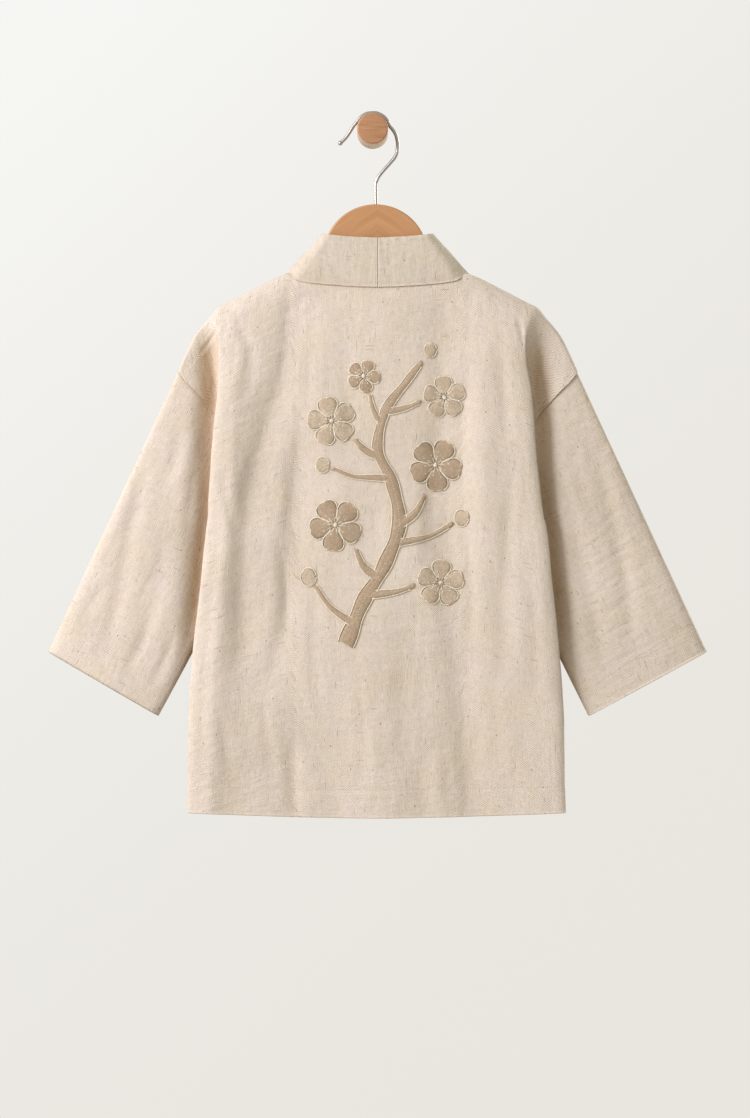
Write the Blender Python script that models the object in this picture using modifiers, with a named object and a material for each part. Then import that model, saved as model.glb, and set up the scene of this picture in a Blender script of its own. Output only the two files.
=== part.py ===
"""A child's kimono jacket hung on a wooden hanger from a round wall peg.

The origin is the centre of the peg's back face, on the wall. +Y runs into the wall, +Z is up,
and the jacket hangs with its back towards -Y, so +X is the wearer's right.
Tables are in millimetres: x from the jacket's centre line, y as in the frame,
and down below the two neck points, where collar, back and fronts meet.
"""
import math
from collections import namedtuple

import bmesh
import bpy
from mathutils import Vector

MM = 0.001

# Cloth walls, and how far pieces stand apart at the seams
WALL = 1.6
BAND_WALL = 2.4
SEAM_GAP = 0.3
BAND_GAP = 0.6
NECK_STAND = 1.1
NECK_REACH = 22.0
ARMHOLE_LAP = 2.2
UNDERARM_LAP = 5.4

# Places of the whole jacket
CUFF_OUTER = (330.0, 377.0)
CUFF_INNER_LEFT = (220.0, 441.0)
CUFF_INNER_RIGHT = (212.0, 441.0)
AXIS_X = 4.9
NECK_Z = -146.3
MIDDLE_Y = -33.65
FRONT_INSET = 4.0

# Peg and hanger
PEG_RADIUS = 15.6
PEG_LENGTH = 55.0
PEG_CHAMFER = 1.5
HANGER_Y = -34.0
HANGER_THICK = 12.0
HANGER_EDGE = 1.5
HUB_RADIUS = 53.0
HUB_TOP_Z = -74.6
HUB_SHIFT = -1.9
WIRE_RADIUS = 1.8

# Back sections from the neck seam and shoulder ridge down to the hem
BackRow = namedtuple(
    "BackRow",
    "centre_down centre_y inner_down inner_y neck_down neck_y "
    "crest_left crest_right crest_down crest_y turn "
    "valley_x valley_down valley_y seam_x seam_down seam_y lip")
BACK_ROWS = [BackRow(*row) for row in (
    (10, -43.6, 4.5, -42.4, -2, -34.1, 160, 160, 32, -34.1, 0, 183, 60, -34.1, 200.5, 96, -34.1, 0),
    (12, -43.7, 6.4, -42.9, -0.8, -38.2, 160, 158.5, 33, -39.2, 0, 182, 61, -37.4, 199.7, 97.2, -38.3, 0),
    (20, -44.2, 16, -43.9, 12, -43.4, 159, 151, 45, -46.6, 0.1, 176, 71, -38, 194, 105, -39.4, 0),
    (35, -44.8, 31, -44.9, 29, -44.9, 158.7, 147.5, 62, -50.6, 0.3, 170, 82, -37.4, 186, 113, -39.8, 0),
    (60, -45.5, 57, -46, 55, -46.2, 158.6, 148.5, 85, -53, 0.6, 165, 101, -38, 175, 125, -40, 0),
    (95, -46.5, 93, -46.9, 92, -47.1, 159, 153.5, 112, -54.3, 0.85, 159, 126, -41, 163, 139.5, -40, 0),
    (135, -47.3, 133.5, -47.9, 133, -48.1, 162, 156.5, 145, -55.2, 1, 154, 155, -45.2, 149, 163, -40, 0),
    (180, -48, 179.5, -48.8, 179, -49.1, 165.3, 159.5, 184, -56, 1, 146, 189, -44.6, 134, 194, -40, 0),
    (220, -48.5, 220, -49.3, 220, -49.7, 167.6, 163.5, 222, -56, 1, 133, 224, -43.2, 121, 226, -39.6, 0),
    (242, -48.7, 242, -49.6, 242, -50, 169, 166.5, 243, -56, 1, 121, 243.5, -40.8, 113.6, 243, -38.2, 0.3),
    (248, -48.8, 248, -49.7, 248, -50.1, 170, 168, 249, -56, 1, 116.5, 249, -39.2, 112, 248.5, -34.1, 1),
    (300, -49, 300, -50, 300, -50.5, 176, 173.5, 300.5, -56, 1, 120.5, 300.5, -39.2, 116, 300, -33.8, 1),
    (380, -49, 380, -50, 380, -50.5, 184.5, 181.7, 380, -56, 1, 132, 380, -39.2, 127.5, 380, -33.8, 1),
    (461, -48, 460.6, -49.4, 460.5, -50, 188.6, 186, 460, -55.5, 1, 145.5, 460, -39.2, 141, 460, -33.8, 1),
    (543, -47, 541.8, -48.5, 541.5, -49, 189.5, 187.5, 537.5, -55, 1, 160, 538, -39.2, 155.5, 538, -33.8, 1),
)]
ROW_STEPS = (1, 1, 1, 1, 1, 2, 2, 2, 1, 1, 2, 3, 3, 3)
UNDERARM_ROW = 10
INNER_X = 78.0
NECK_X = 90.0
CREST_LEAD = 10.0
LIP = 2.0

# Front edge along the collar seam, one row for each back section
FrontEdge = namedtuple("FrontEdge", "x y down")
FRONT_EDGES = [FrontEdge(*row) for row in (
    (90, -33.3, -2), (89.5, -29.1, -0.6), (86.5, -24.0, 12), (79.5, -22.6, 31), (69.5, -21.5, 57),
    (60, -20.5, 94), (53, -19.5, 135), (49.3, -19, 180), (48.3, -19, 220), (48, -19, 242),
    (48, -19, 248), (48, -19, 300), (48, -19.5, 380), (48, -20, 461), (48, -20.5, 541.5),
)]
FRONT_MIDDLE_X = 104.0

# Free edge of the collar band against the seam it hangs from
BandEdge = namedtuple("BandEdge", "key x y down")
BAND_BACK = [BandEdge(*row) for row in (
    (0, 0, -43.2, -37.6), (40, 25.5, -43.0, -38.6), (78, 47.5, -42.4, -40.8), (86, 53, -39.0, -41.8),
    (90, 54.5, -34.0, -42.2),
)]
BAND_FRONT = [BandEdge(*row) for row in (
    (-2, 54.5, -34.0, -42.2), (8, 51.8, -25.5, -35), (25, 45.5, -22.5, -17.5), (57, 34, -20, 22),
    (114, 14, -18.2, 94), (184, 4.5, -17.6, 179), (250, 3.5, -17.8, 249), (541.5, 3.5, -19.5, 541.5),
)]

# Soft folds: depth towards the wall, half width, how much wider on the +X side, path of x and down
Fold = namedtuple("Fold", "depth width lean path")
BACK_FOLDS = (
    Fold(-3.5, 11, 1.4, ((-140, 40), (-143, 120), (-148, 220), (-156, 330), (-164, 440), (-168, 700))),
    Fold(4.2, 10, 2.2, (
        (-78, -60), (-87, 50), (-97, 105), (-108, 145), (-122, 190), (-131, 235), (-134, 290),
        (-131, 400), (-128, 480))),
    Fold(3.4, 9, 2.4, ((-74, 90), (-77, 145), (-84, 225), (-89, 305), (-94, 350), (-112, 410), (-140, 450))),
    Fold(1.8, 14, 1.0, ((-134, 265), (-141, 325), (-138, 365), (-152, 415))),
    Fold(1.5, 6, 1.0, ((-138, 40), (-132, 72))),
    Fold(2.5, 8, 1.0, ((-85, 455), (-84, 560))),
    Fold(5.0, 17, 1.5, (
        (67, -60), (66, 125), (63, 205), (67, 285), (77, 365), (90, 450), (97, 560), (100, 760))),
    Fold(2.0, 10, 1.0, ((120, 285), (127, 365), (122, 425))),
    Fold(2.0, 13, 1.0, ((42, 440), (46, 540), (50, 700))),
    Fold(-4.2, 36, 1.0, ((-2, 260), (2, 420), (4, 740))),
    Fold(-3.0, 14, 1.0, ((102, 40), (106, 200), (110, 365))),
)
FRONT_FOLDS = (
    Fold(-4.0, 12, 1.0, ((-86, 70), (-96, 200), (-104, 380), (-112, 600))),
    Fold(-2.5, 11, 1.0, ((-136, 190), (-141, 330), (-146, 450))),
    Fold(-3.5, 12, 1.0, ((80, 60), (92, 230), (96, 420), (110, 600))),
    Fold(-3.0, 11, 1.0, ((128, 150), (136, 300), (142, 430))),
)
SLEEVE_FOLDS = (
    Fold(2.0, 8, 1.0, ((-236, 205), (-262, 330), (-276, 395))),
    Fold(1.6, 9, 1.0, ((-205, 270), (-238, 370), (-252, 420))),
    Fold(2.2, 8, 1.0, ((215, 160), (242, 270), (262, 400))),
    Fold(1.8, 9, 1.0, ((196, 230), (214, 330), (236, 425))),
)

# Sections along a sleeve, from armhole to cuff
SLEEVE_STEPS = (0.0, 0.05, 0.13, 0.24, 0.36, 0.49, 0.62, 0.75, 0.88, 1.0)
ARMHOLE_ROUND = 2.4
ARMHOLE_HALF = 4.1
CUFF_ROUND = 4.5
CUFF_HALF = 9.0

# Hook wire from the hub to the point where it meets the peg's side
HOOK_STEM = (
    (3.4, -74.2), (3.1, -55.3), (5.1, -48.3), (9.8, -41.7), (16.4, -34.3), (22.4, -26.9),
    (24.6, -21.3), (25.2, -14.9), (24.0, -6.8),
)
HOOK_TAIL = ((-19.9, 3.2), (-23.6, -2.8), (-27.8, -8.5), (-32.4, -12.9))


def place(x, y, down):
    """A point of the jacket, in metres, from its table sizes."""
    return Vector((AXIS_X + x, y, NECK_Z - down)) * MM


def keyed(rows, key):
    """Read a table at a key in its first column, on a smooth curve that never overshoots."""
    keys = [row[0] for row in rows]
    last = len(rows) - 1
    key = min(max(key, keys[0]), keys[last])
    i = 0
    while i < last - 1 and key > keys[i + 1]:
        i += 1
    span = keys[i + 1] - keys[i]
    t = (key - keys[i]) / span
    h00 = 2 * t ** 3 - 3 * t ** 2 + 1
    h10 = t ** 3 - 2 * t ** 2 + t
    h01 = 3 * t ** 2 - 2 * t ** 3
    h11 = t ** 3 - t ** 2
    values = []
    for c in range(1, len(rows[0])):
        slopes = [
            (rows[k + 1][c] - rows[k][c]) / (keys[k + 1] - keys[k])
            for k in range(max(i - 1, 0), min(i + 2, last))]
        here = slopes[1] if i > 0 else slopes[0]
        before = slopes[0]
        after = slopes[-1]
        m0 = tangent(before, here) if i > 0 else here
        m1 = tangent(here, after) if i + 1 < last else here
        values.append(h00 * rows[i][c] + h10 * span * m0 + h01 * rows[i + 1][c] + h11 * span * m1)
    return values


def tangent(before, after):
    """The slope at a knot: none at a peak, else between its neighbours."""
    if before * after <= 0:
        return 0.0
    return 2 * before * after / (before + after)


def indexed(rows, u):
    """Read a table at a row number that may lie between rows."""
    return keyed([(i, *row) for i, row in enumerate(rows)], u)


def smoothstep(t):
    t = min(max(t, 0.0), 1.0)
    return t * t * (3 - 2 * t)


def mix(a, b, t):
    return tuple(p + (q - p) * t for p, q in zip(a, b))


def fold_offset(folds, x, down):
    """How far the folds push a point towards the wall."""
    push = 0.0
    for fold in folds:
        top = fold.path[0][1]
        bottom = fold.path[-1][1]
        if not top < down < bottom:
            continue
        line = [(d, px) for px, d in fold.path]
        off = (x - keyed(line, down)[0]) / fold.width
        if off > 0:
            off /= fold.lean
        reach = 0.3 * (bottom - top)
        fade = smoothstep((down - top) / reach) * smoothstep((bottom - down) / reach)
        push += fold.depth * fade * math.exp(-off * off)
    return push


def half_section(row, side):
    """Points of one back section from the centre line to the seam, as x, y and down."""
    crest_x = row.crest_left if side < 0 else row.crest_right
    valley_x = row.valley_x - 0.6 * (row.crest_left - crest_x)
    crest = (crest_x, row.crest_y, row.crest_down)
    neck = (NECK_X, row.neck_y, row.neck_down)
    valley = (valley_x, row.valley_y, row.valley_down)
    lead = list(mix(neck, crest, 1 - CREST_LEAD / (crest_x - NECK_X)))
    lead[1] += (row.crest_y - lead[1]) * row.turn
    tip = (crest_x, row.crest_y + 3.5 * row.turn, row.crest_down)
    turned = (crest_x - 6, row.crest_y + 7, row.crest_down)
    back = mix(mix(crest, valley, 0.35), turned, row.turn)
    seam = (row.seam_x, row.seam_y, row.seam_down)
    flat_lip = mix(seam, valley, LIP / math.dist(seam, valley))
    turned_lip = (row.seam_x + 0.1 * LIP, row.seam_y - LIP, row.seam_down)
    return [
        (0.0, row.centre_y, row.centre_down),
        (INNER_X, row.inner_y, row.inner_down),
        neck, tuple(lead), tip, back, valley,
        mix(flat_lip, turned_lip, row.lip), seam]


def spread(points, steps):
    """Resample a path: so many steps in each of its spans."""
    out = []
    for i, count in enumerate(steps):
        for k in range(count):
            out.append(indexed(points, i + k / count))
    out.append(list(points[-1]))
    return out


def row_numbers():
    """The section numbers of the mesh rows, from the ridge to the hem."""
    numbers = []
    for i, count in enumerate(ROW_STEPS):
        numbers += [i + k / count for k in range(count)]
    return numbers + [len(ROW_STEPS)]


def back_section(u, steps):
    """One whole section of the back, left seam to right seam, with its folds."""
    row = BackRow(*indexed(BACK_ROWS, u))
    left = [(-x, y, down) for x, y, down in half_section(row, -1)]
    right = half_section(row, 1)
    path = spread(left[::-1] + right[1:], steps[::-1] + steps)
    points = []
    centre = sum(steps)
    for i, (x, y, down) in enumerate(path):
        crest_x = row.crest_left if x < 0 else row.crest_right
        room = smoothstep((crest_x - abs(x)) / 22) * smoothstep((u - 1) / 2)
        ahead = abs(i - centre) <= sum(steps[:4])
        if ahead and room > 0:
            y += room * fold_offset(BACK_FOLDS, x, down)
        points.append((x, y, down))
    return points


def mirrored(y):
    return 2 * MIDDLE_Y - y


def front_section(u, side, steps):
    """One section of a front, from the collar seam to the side seam, with its folds."""
    row = BackRow(*indexed(BACK_ROWS, u))
    edge = FrontEdge(*indexed(FRONT_EDGES, u))
    half = half_section(row, side)
    inset = FRONT_INSET * smoothstep(u / 3)
    outer = []
    for x, y, down in half[3:]:
        outer.append((x, mirrored(y), down))
    for k in range(3):
        x, y, down = outer[k]
        outer[k] = (x - inset, y, down)
    share = (FRONT_MIDDLE_X - edge.x) / (outer[0][0] - edge.x)
    middle_down = edge.down + (outer[0][2] - edge.down) * share
    middle = (FRONT_MIDDLE_X, mirrored(row.neck_y), middle_down)
    path = spread([tuple(edge), middle] + outer, steps)
    points = []
    for x, y, down in path:
        room = smoothstep((row.crest_right - inset - x) / 22) * smoothstep((x - edge.x) / 15)
        room *= smoothstep((u - 1) / 2)
        if room > 0 and y > outer[0][1] - 8:
            y += room * fold_offset(FRONT_FOLDS, side * x, down)
        points.append((side * x, y, down))
    return points


def armhole_knots():
    """The armhole seam as a table of distance from the ridge, x and down."""
    knots = []
    distance = 0.0
    for i, row in enumerate(BACK_ROWS[:UNDERARM_ROW + 1]):
        if i > 0:
            last = BACK_ROWS[i - 1]
            distance += math.hypot(row.seam_x - last.seam_x, row.seam_down - last.seam_down)
        knots.append((distance, row.seam_x, row.seam_down))
    return knots


def flat_loop(width, rounding, half, count):
    """A flattened round loop as (distance across, half thickness), one side only."""
    places = [0.0, 0.3 * rounding, rounding * 0.95]
    inner = width - 2 * rounding
    for k in range(1, count):
        places.append(rounding + inner * (0.5 - 0.5 * math.cos(math.pi * (0.08 + 0.84 * k / count))))
    places += [width - rounding * 0.95, width - 0.3 * rounding, width]
    loop = []
    for at in places:
        end = min(at, width - at)
        if end < rounding:
            loop.append((at, math.sqrt(max(rounding ** 2 - (rounding - end) ** 2, 0.0))))
        else:
            wave = math.sin(math.pi * (at - rounding) / inner)
            loop.append((at, rounding + (half - rounding) * max(wave, 0.0) ** 0.5))
    return loop


def sleeve_section(t, side, count):
    """One closed loop of a sleeve, from its ridge round the back and the front."""
    armhole = armhole_knots()
    arm_width = armhole[-1][0] - ARMHOLE_LAP - UNDERARM_LAP
    cuff_inner = CUFF_INNER_LEFT if side < 0 else CUFF_INNER_RIGHT
    cuff_width = math.dist(CUFF_OUTER, cuff_inner)
    arm = flat_loop(arm_width, ARMHOLE_ROUND, ARMHOLE_HALF, count)
    cuff = flat_loop(cuff_width, CUFF_ROUND, CUFF_HALF, count)
    grow = t ** 0.6
    back = []
    front = []
    for (arm_at, arm_half), (cuff_at, cuff_half) in zip(arm, cuff):
        start = keyed(armhole, arm_at + ARMHOLE_LAP)
        end = mix(CUFF_OUTER, cuff_inner, cuff_at / cuff_width)
        x, down = mix(start, end, t)
        half = arm_half + (cuff_half - arm_half) * grow
        room = smoothstep((half - 3.0) / 3.0) * smoothstep(t / 0.2)
        push = room * fold_offset(SLEEVE_FOLDS, side * x, down)
        back.append((side * x, MIDDLE_Y - half + push, down))
        front.append((side * x, MIDDLE_Y + half, down))
    return back + front[-2:0:-1]


def collar_section(seam, edge, count):
    """The band's width from its seam to its free edge, clear of the cloth it stands on."""
    length = math.dist(seam, edge)
    from_neck = math.dist(seam, (NECK_X, BACK_ROWS[0].neck_y, BACK_ROWS[0].neck_down))
    stand = NECK_STAND * math.exp(-(from_neck / NECK_REACH) ** 2)
    start = mix(seam, edge, (BAND_GAP + stand) / length)
    points = []
    for k in range(count + 1):
        points.append(mix(start, edge, k / count))
    return points


def collar_rows(side, back_steps, front_steps, count):
    """Sections of half the band, from the centre back over the shoulder to the hem."""
    rows = []
    centre = sum(back_steps)
    neck = centre + back_steps[0] + back_steps[1]
    top = back_section(0, back_steps)
    for i in range(centre, neck + 1):
        x, y, down = top[i]
        edge = keyed(BAND_BACK, x)
        rows.append(collar_section((x, y, down), edge, count))
    rows[0] = [(0.5 * SEAM_GAP, y, down) for x, y, down in rows[0]]
    for u in row_numbers()[1:]:
        x, y, down = front_section(u, 1, front_steps)[0]
        edge = keyed(BAND_FRONT, down)
        rows.append(collar_section((x, y, down), edge, count))
    return [[(side * x, y, down) for x, y, down in row] for row in rows]


def material(name, colour, roughness, metallic=0.0):
    made = bpy.data.materials.new(name)
    made.use_nodes = True
    shader = made.node_tree.nodes["Principled BSDF"]
    shader.inputs["Base Color"].default_value = (*colour, 1.0)
    shader.inputs["Roughness"].default_value = roughness
    shader.inputs["Metallic"].default_value = metallic
    made.diffuse_color = (*colour, 1.0)
    return made


def finish(obj, made, collection):
    obj.data.materials.append(made)
    collection.objects.link(obj)
    if obj.type == "MESH":
        obj.data.shade_smooth()
    return obj


def cloth(name, rows, wall, made, collection, tube=False):
    """A sheet or tube through its sections, thickened to a wall."""
    mesh = bpy.data.meshes.new(name)
    bm = bmesh.new()
    grid = [[bm.verts.new(place(*point)) for point in row] for row in rows]
    across = len(rows[0])
    for upper, lower in zip(grid, grid[1:]):
        for k in range(across if tube else across - 1):
            n = (k + 1) % across
            bm.faces.new((upper[k], upper[n], lower[n], lower[k]))
    bm.to_mesh(mesh)
    bm.free()
    obj = bpy.data.objects.new(name, mesh)
    solid = obj.modifiers.new("wall", "SOLIDIFY")
    solid.thickness = wall * MM
    solid.offset = 0.0
    return finish(obj, made, collection)


def make_garment(linen, collection):
    back_steps = [8, 2, 7, 2, 2, 2, 2, 1]
    front_steps = [5, 5, 2, 2, 2, 2, 1]
    rows = row_numbers()
    cloth("back_panel", [back_section(u, back_steps) for u in rows], WALL, linen, collection)
    for side, name in ((-1, "left"), (1, "right")):
        sections = [front_section(u, side, front_steps) for u in rows]
        cloth(f"front_{name}", sections, WALL, linen, collection)
        sections = [sleeve_section(t, side, 9) for t in SLEEVE_STEPS]
        cloth(f"sleeve_{name}", sections, WALL, linen, collection, tube=True)
        sections = collar_rows(side, back_steps, front_steps, 4)
        cloth(f"collar_{name}", sections, BAND_WALL, linen, collection)


def hanger_outline():
    """Half of the hanger's outline, from the top of the hub to the middle of its underside."""
    hub_centre = HUB_TOP_Z - HUB_RADIUS
    half = []
    for k in range(9):
        angle = math.radians(65.0 * k / 8)
        half.append((HUB_RADIUS * math.sin(angle), hub_centre + HUB_RADIUS * math.cos(angle)))
    half += [(51, -117), (56, -129), (65, -141), (77, -149.5), (92, -154)]
    half += [(125, -170.5), (148, -182.5), (154, -187.5), (156.5, -193), (155, -199), (150, -202)]
    half += [(130, -195.5), (90, -178.5), (60, -166), (30, -158.5), (0, -156)]
    return half


def make_hanger(wood, steel, collection):
    half = hanger_outline()
    outline = half + [(-x, z) for x, z in half[-2:0:-1]]
    outline = [(x + HUB_SHIFT * smoothstep((z + 150) / 32), z) for x, z in outline]
    curve = bpy.data.curves.new("hanger_body", "CURVE")
    curve.dimensions = "2D"
    curve.fill_mode = "BOTH"
    curve.bevel_depth = HANGER_EDGE * MM
    curve.bevel_resolution = 1
    curve.offset = -HANGER_EDGE * MM
    curve.extrude = (0.5 * HANGER_THICK - HANGER_EDGE) * MM
    spline = curve.splines.new("POLY")
    spline.points.add(len(outline) - 1)
    for point, (x, z) in zip(spline.points, outline):
        point.co = ((AXIS_X + x) * MM, z * MM, 0.0, 1.0)
    spline.use_cyclic_u = True
    body = bpy.data.objects.new("hanger_body", curve)
    body.rotation_euler = (math.pi / 2, 0.0, 0.0)
    body.location = (0.0, HANGER_Y * MM, 0.0)
    finish(body, wood, collection)

    curve = bpy.data.curves.new("hanger_hook", "CURVE")
    curve.dimensions = "3D"
    curve.bevel_depth = WIRE_RADIUS * MM
    curve.bevel_resolution = 2
    curve.use_fill_caps = True
    route = hook_route()
    spline = curve.splines.new("POLY")
    spline.points.add(len(route) - 1)
    for point, (x, z) in zip(spline.points, route):
        point.co = (x * MM, HANGER_Y * MM, z * MM, 1.0)
    finish(bpy.data.objects.new("hanger_hook", curve), steel, collection)


def hook_route():
    """The wire's centre line: stem, an arc just clear of the peg, and the tail."""
    rest_radius = PEG_RADIUS + WIRE_RADIUS + SEAM_GAP
    arc = []
    for k in range(7):
        angle = math.radians(15 + 135 * k / 6)
        arc.append((rest_radius * math.cos(angle), rest_radius * math.sin(angle)))
    knots = list(HOOK_STEM) + [(21.6, -1.4)] + arc + list(HOOK_TAIL)
    return spread(knots, [1] + [2] * (len(knots) - 2))


def make_peg(wood, collection):
    mesh = bpy.data.meshes.new("wall_peg")
    bm = bmesh.new()
    bmesh.ops.create_cone(
        bm, cap_ends=True, segments=40, radius1=PEG_RADIUS * MM, radius2=PEG_RADIUS * MM,
        depth=PEG_LENGTH * MM)
    front = [edge for edge in bm.edges if all(vert.co.z > 0 for vert in edge.verts)]
    bmesh.ops.bevel(bm, geom=front, offset=PEG_CHAMFER * MM, segments=2, affect="EDGES")
    bm.to_mesh(mesh)
    bm.free()
    peg = bpy.data.objects.new("wall_peg", mesh)
    peg.rotation_euler = (math.pi / 2, 0.0, 0.0)
    peg.location = (0.0, -0.5 * PEG_LENGTH * MM, 0.0)
    finish(peg, wood, collection)


def main():
    for obj in list(bpy.data.objects):
        bpy.data.objects.remove(obj)
    collection = bpy.data.collections.new("kimono_jacket")
    bpy.context.scene.collection.children.link(collection)
    linen = material("linen", (0.72, 0.62, 0.50), 0.85)
    wood = material("hanger_wood", (0.56, 0.29, 0.13), 0.45)
    peg_wood = material("peg_wood", (0.48, 0.24, 0.11), 0.5)
    steel = material("steel", (0.70, 0.68, 0.65), 0.3, 1.0)
    make_garment(linen, collection)
    make_hanger(wood, steel, collection)
    make_peg(peg_wood, collection)


main()
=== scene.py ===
"""The looks of a child's linen kimono jacket on a wooden hanger and wall peg.

Tables are in millimetres, as in the jacket's construction: x from its centre line, y as in the
frame, and down below the two neck points. Everything that is built is in metres.
"""
import math
import random
from collections import namedtuple

import bmesh
import bpy
import numpy as np
from mathutils import Matrix, Vector, noise
from mathutils.bvhtree import BVHTree


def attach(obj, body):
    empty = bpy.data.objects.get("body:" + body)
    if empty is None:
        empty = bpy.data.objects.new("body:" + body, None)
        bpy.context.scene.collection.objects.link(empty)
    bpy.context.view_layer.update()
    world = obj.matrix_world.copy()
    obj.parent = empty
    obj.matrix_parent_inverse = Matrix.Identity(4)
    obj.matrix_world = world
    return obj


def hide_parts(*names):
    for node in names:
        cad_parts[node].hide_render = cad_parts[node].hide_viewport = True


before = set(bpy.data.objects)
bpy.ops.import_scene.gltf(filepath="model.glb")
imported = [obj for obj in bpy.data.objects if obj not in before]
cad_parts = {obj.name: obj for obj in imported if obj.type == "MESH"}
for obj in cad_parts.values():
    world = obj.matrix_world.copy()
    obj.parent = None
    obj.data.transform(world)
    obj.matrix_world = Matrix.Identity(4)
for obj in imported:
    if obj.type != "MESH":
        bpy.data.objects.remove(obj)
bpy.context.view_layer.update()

MM = 0.001

# Places of the whole jacket
AXIS_X = 4.9
NECK_Z = -146.3
MIDDLE_Y = -33.65
CUFF_OUTER = (330.0, 377.0)
CUFF_INNER_LEFT = (220.0, 441.0)
CUFF_INNER_RIGHT = (212.0, 441.0)
ARMHOLE_LAP = 1.0
UNDERARM_LAP = 5.4
FRONT_INSET = 4.0
HEM_DEPTH = 30.0
CUFF_HEM = 34.0
CLOTH = 1.0
BAND_CLOTH = 0.9
BAND_HALF = 1.15
DIP_DEPTH = 10.5
DIP_OUTER_WIDTH = 14.0
DIP_INSIDE = -3.0
DIP_INNER_WIDTH = 5.0
DIP_LEAD = 3.0
DIP_FROM = 30.0
DIP_FULL = 92.0
DIP_FADES = 320.0
DIP_TO = 420.0
FRONT_DIP = 0.5
NECK_REACH = 22.0
SEAM_START = -0.004
SEAM_RAISE = 0.4

# Back sections from the neck seam and shoulder ridge down to the hem
BackRow = namedtuple(
    "BackRow",
    "centre_down centre_y inner_down inner_y neck_down neck_y "
    "crest_left crest_right crest_down crest_y turn "
    "valley_x valley_down valley_y seam_x seam_down seam_y lip")
BACK_ROWS = [BackRow(*row) for row in (
    (10, -43.6, 4.5, -42.4, -2, -34.1, 160, 160, 32, -34.1, 0, 183, 60, -34.1, 200.5, 96, -34.1, 0),
    (12, -43.7, 6.4, -42.9, -0.8, -38.2, 160, 158.5, 33, -39.2, 0, 182, 61, -37.4, 199.7, 97.2, -38.3, 0),
    (20, -44.2, 16, -43.9, 12, -43.4, 159, 151, 45, -46.6, 0.1, 176, 71, -38, 194, 105, -39.4, 0),
    (35, -44.8, 31, -44.9, 29, -44.9, 158.7, 147.5, 62, -50.6, 0.3, 170, 82, -37.4, 186, 113, -39.8, 0),
    (60, -45.5, 57, -46, 55, -46.2, 158.6, 148.5, 85, -53, 0.6, 165, 101, -38, 175, 125, -40, 0),
    (95, -46.5, 93, -46.9, 92, -47.1, 159, 153.5, 112, -54.3, 0.85, 159, 126, -41, 163, 139.5, -40, 0),
    (135, -47.3, 133.5, -47.9, 133, -48.1, 162, 156.5, 145, -55.2, 1, 154, 155, -45.2, 149, 163, -40, 0),
    (180, -48, 179.5, -48.8, 179, -49.1, 165.3, 159.5, 184, -56, 1, 146, 189, -44.6, 134, 194, -40, 0),
    (220, -48.5, 220, -49.3, 220, -49.7, 167.6, 163.5, 222, -56, 1, 133, 224, -43.2, 121, 226, -39.6, 0),
    (242, -48.7, 242, -49.6, 242, -50, 169, 166.5, 243, -56, 1, 121, 243.5, -40.8, 113.6, 243, -38.2, 0.3),
    (248, -48.8, 248, -49.7, 248, -50.1, 170, 168, 249, -56, 1, 116.5, 249, -39.2, 112, 248.5, -34.1, 1),
    (300, -49, 300, -50, 300, -50.5, 176, 173.5, 300.5, -56, 1, 120.5, 300.5, -39.2, 116, 300, -33.8, 1),
    (380, -49, 380, -50, 380, -50.5, 184.5, 181.7, 380, -56, 1, 132, 380, -39.2, 127.5, 380, -33.8, 1),
    (461, -48, 460.6, -49.4, 460.5, -50, 188.6, 186, 460, -55.5, 1, 145.5, 460, -39.2, 141, 460, -33.8, 1),
    (543, -47, 541.8, -48.5, 541.5, -49, 189.5, 187.5, 537.5, -55, 1, 160, 538, -39.2, 155.5, 538, -33.8, 1),
)]
UNDERARM_ROW = 10
VALLEY_LEAN = 0.6
CREST_OUT = 3.5
CREST_BACK_X = 6.0
CREST_BACK_Y = 7.0
CREST_SHARE = 0.35
INNER_X = 78.0
NECK_X = 90.0
CREST_LEAD = 10.0
LIP = 2.0

# Front edge along the collar seam, one row for each back section
FrontEdge = namedtuple("FrontEdge", "x y down")
FRONT_EDGES = [FrontEdge(*row) for row in (
    (90, -33.3, -2), (89.5, -29.1, -0.6), (86.5, -24.0, 12), (79.5, -22.6, 31), (69.5, -21.5, 57),
    (60, -20.5, 94), (53, -19.5, 135), (49.3, -19, 180), (48.3, -19, 220), (48, -19, 242),
    (48, -19, 248), (48, -19, 300), (48, -19.5, 380), (48, -20, 461), (48, -20.5, 541.5),
)]
FRONT_MIDDLE_X = 104.0

# Free edge of the collar band against the seam it hangs from
BandEdge = namedtuple("BandEdge", "key x y down")
BAND_BACK = [BandEdge(*row) for row in (
    (0, 0, -43.2, -37.6), (40, 25.5, -43.0, -38.6), (78, 47.5, -42.4, -40.8), (86, 53, -39.0, -41.8),
    (90, 54.5, -34.0, -42.2),
)]
BAND_FRONT = [BandEdge(*row) for row in (
    (-2, 54.5, -34.0, -42.2), (8, 51.8, -25.5, -35), (25, 45.5, -22.5, -17.5), (57, 34, -20, 22),
    (114, 14, -18.2, 94), (184, 4.5, -17.6, 179), (250, 3.5, -17.8, 249), (541.5, 3.5, -19.5, 541.5),
)]

# How near a crest or the front edge the folds fade out
FOLD_MARGIN = 22.0
EDGE_MARGIN = 15.0

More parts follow.
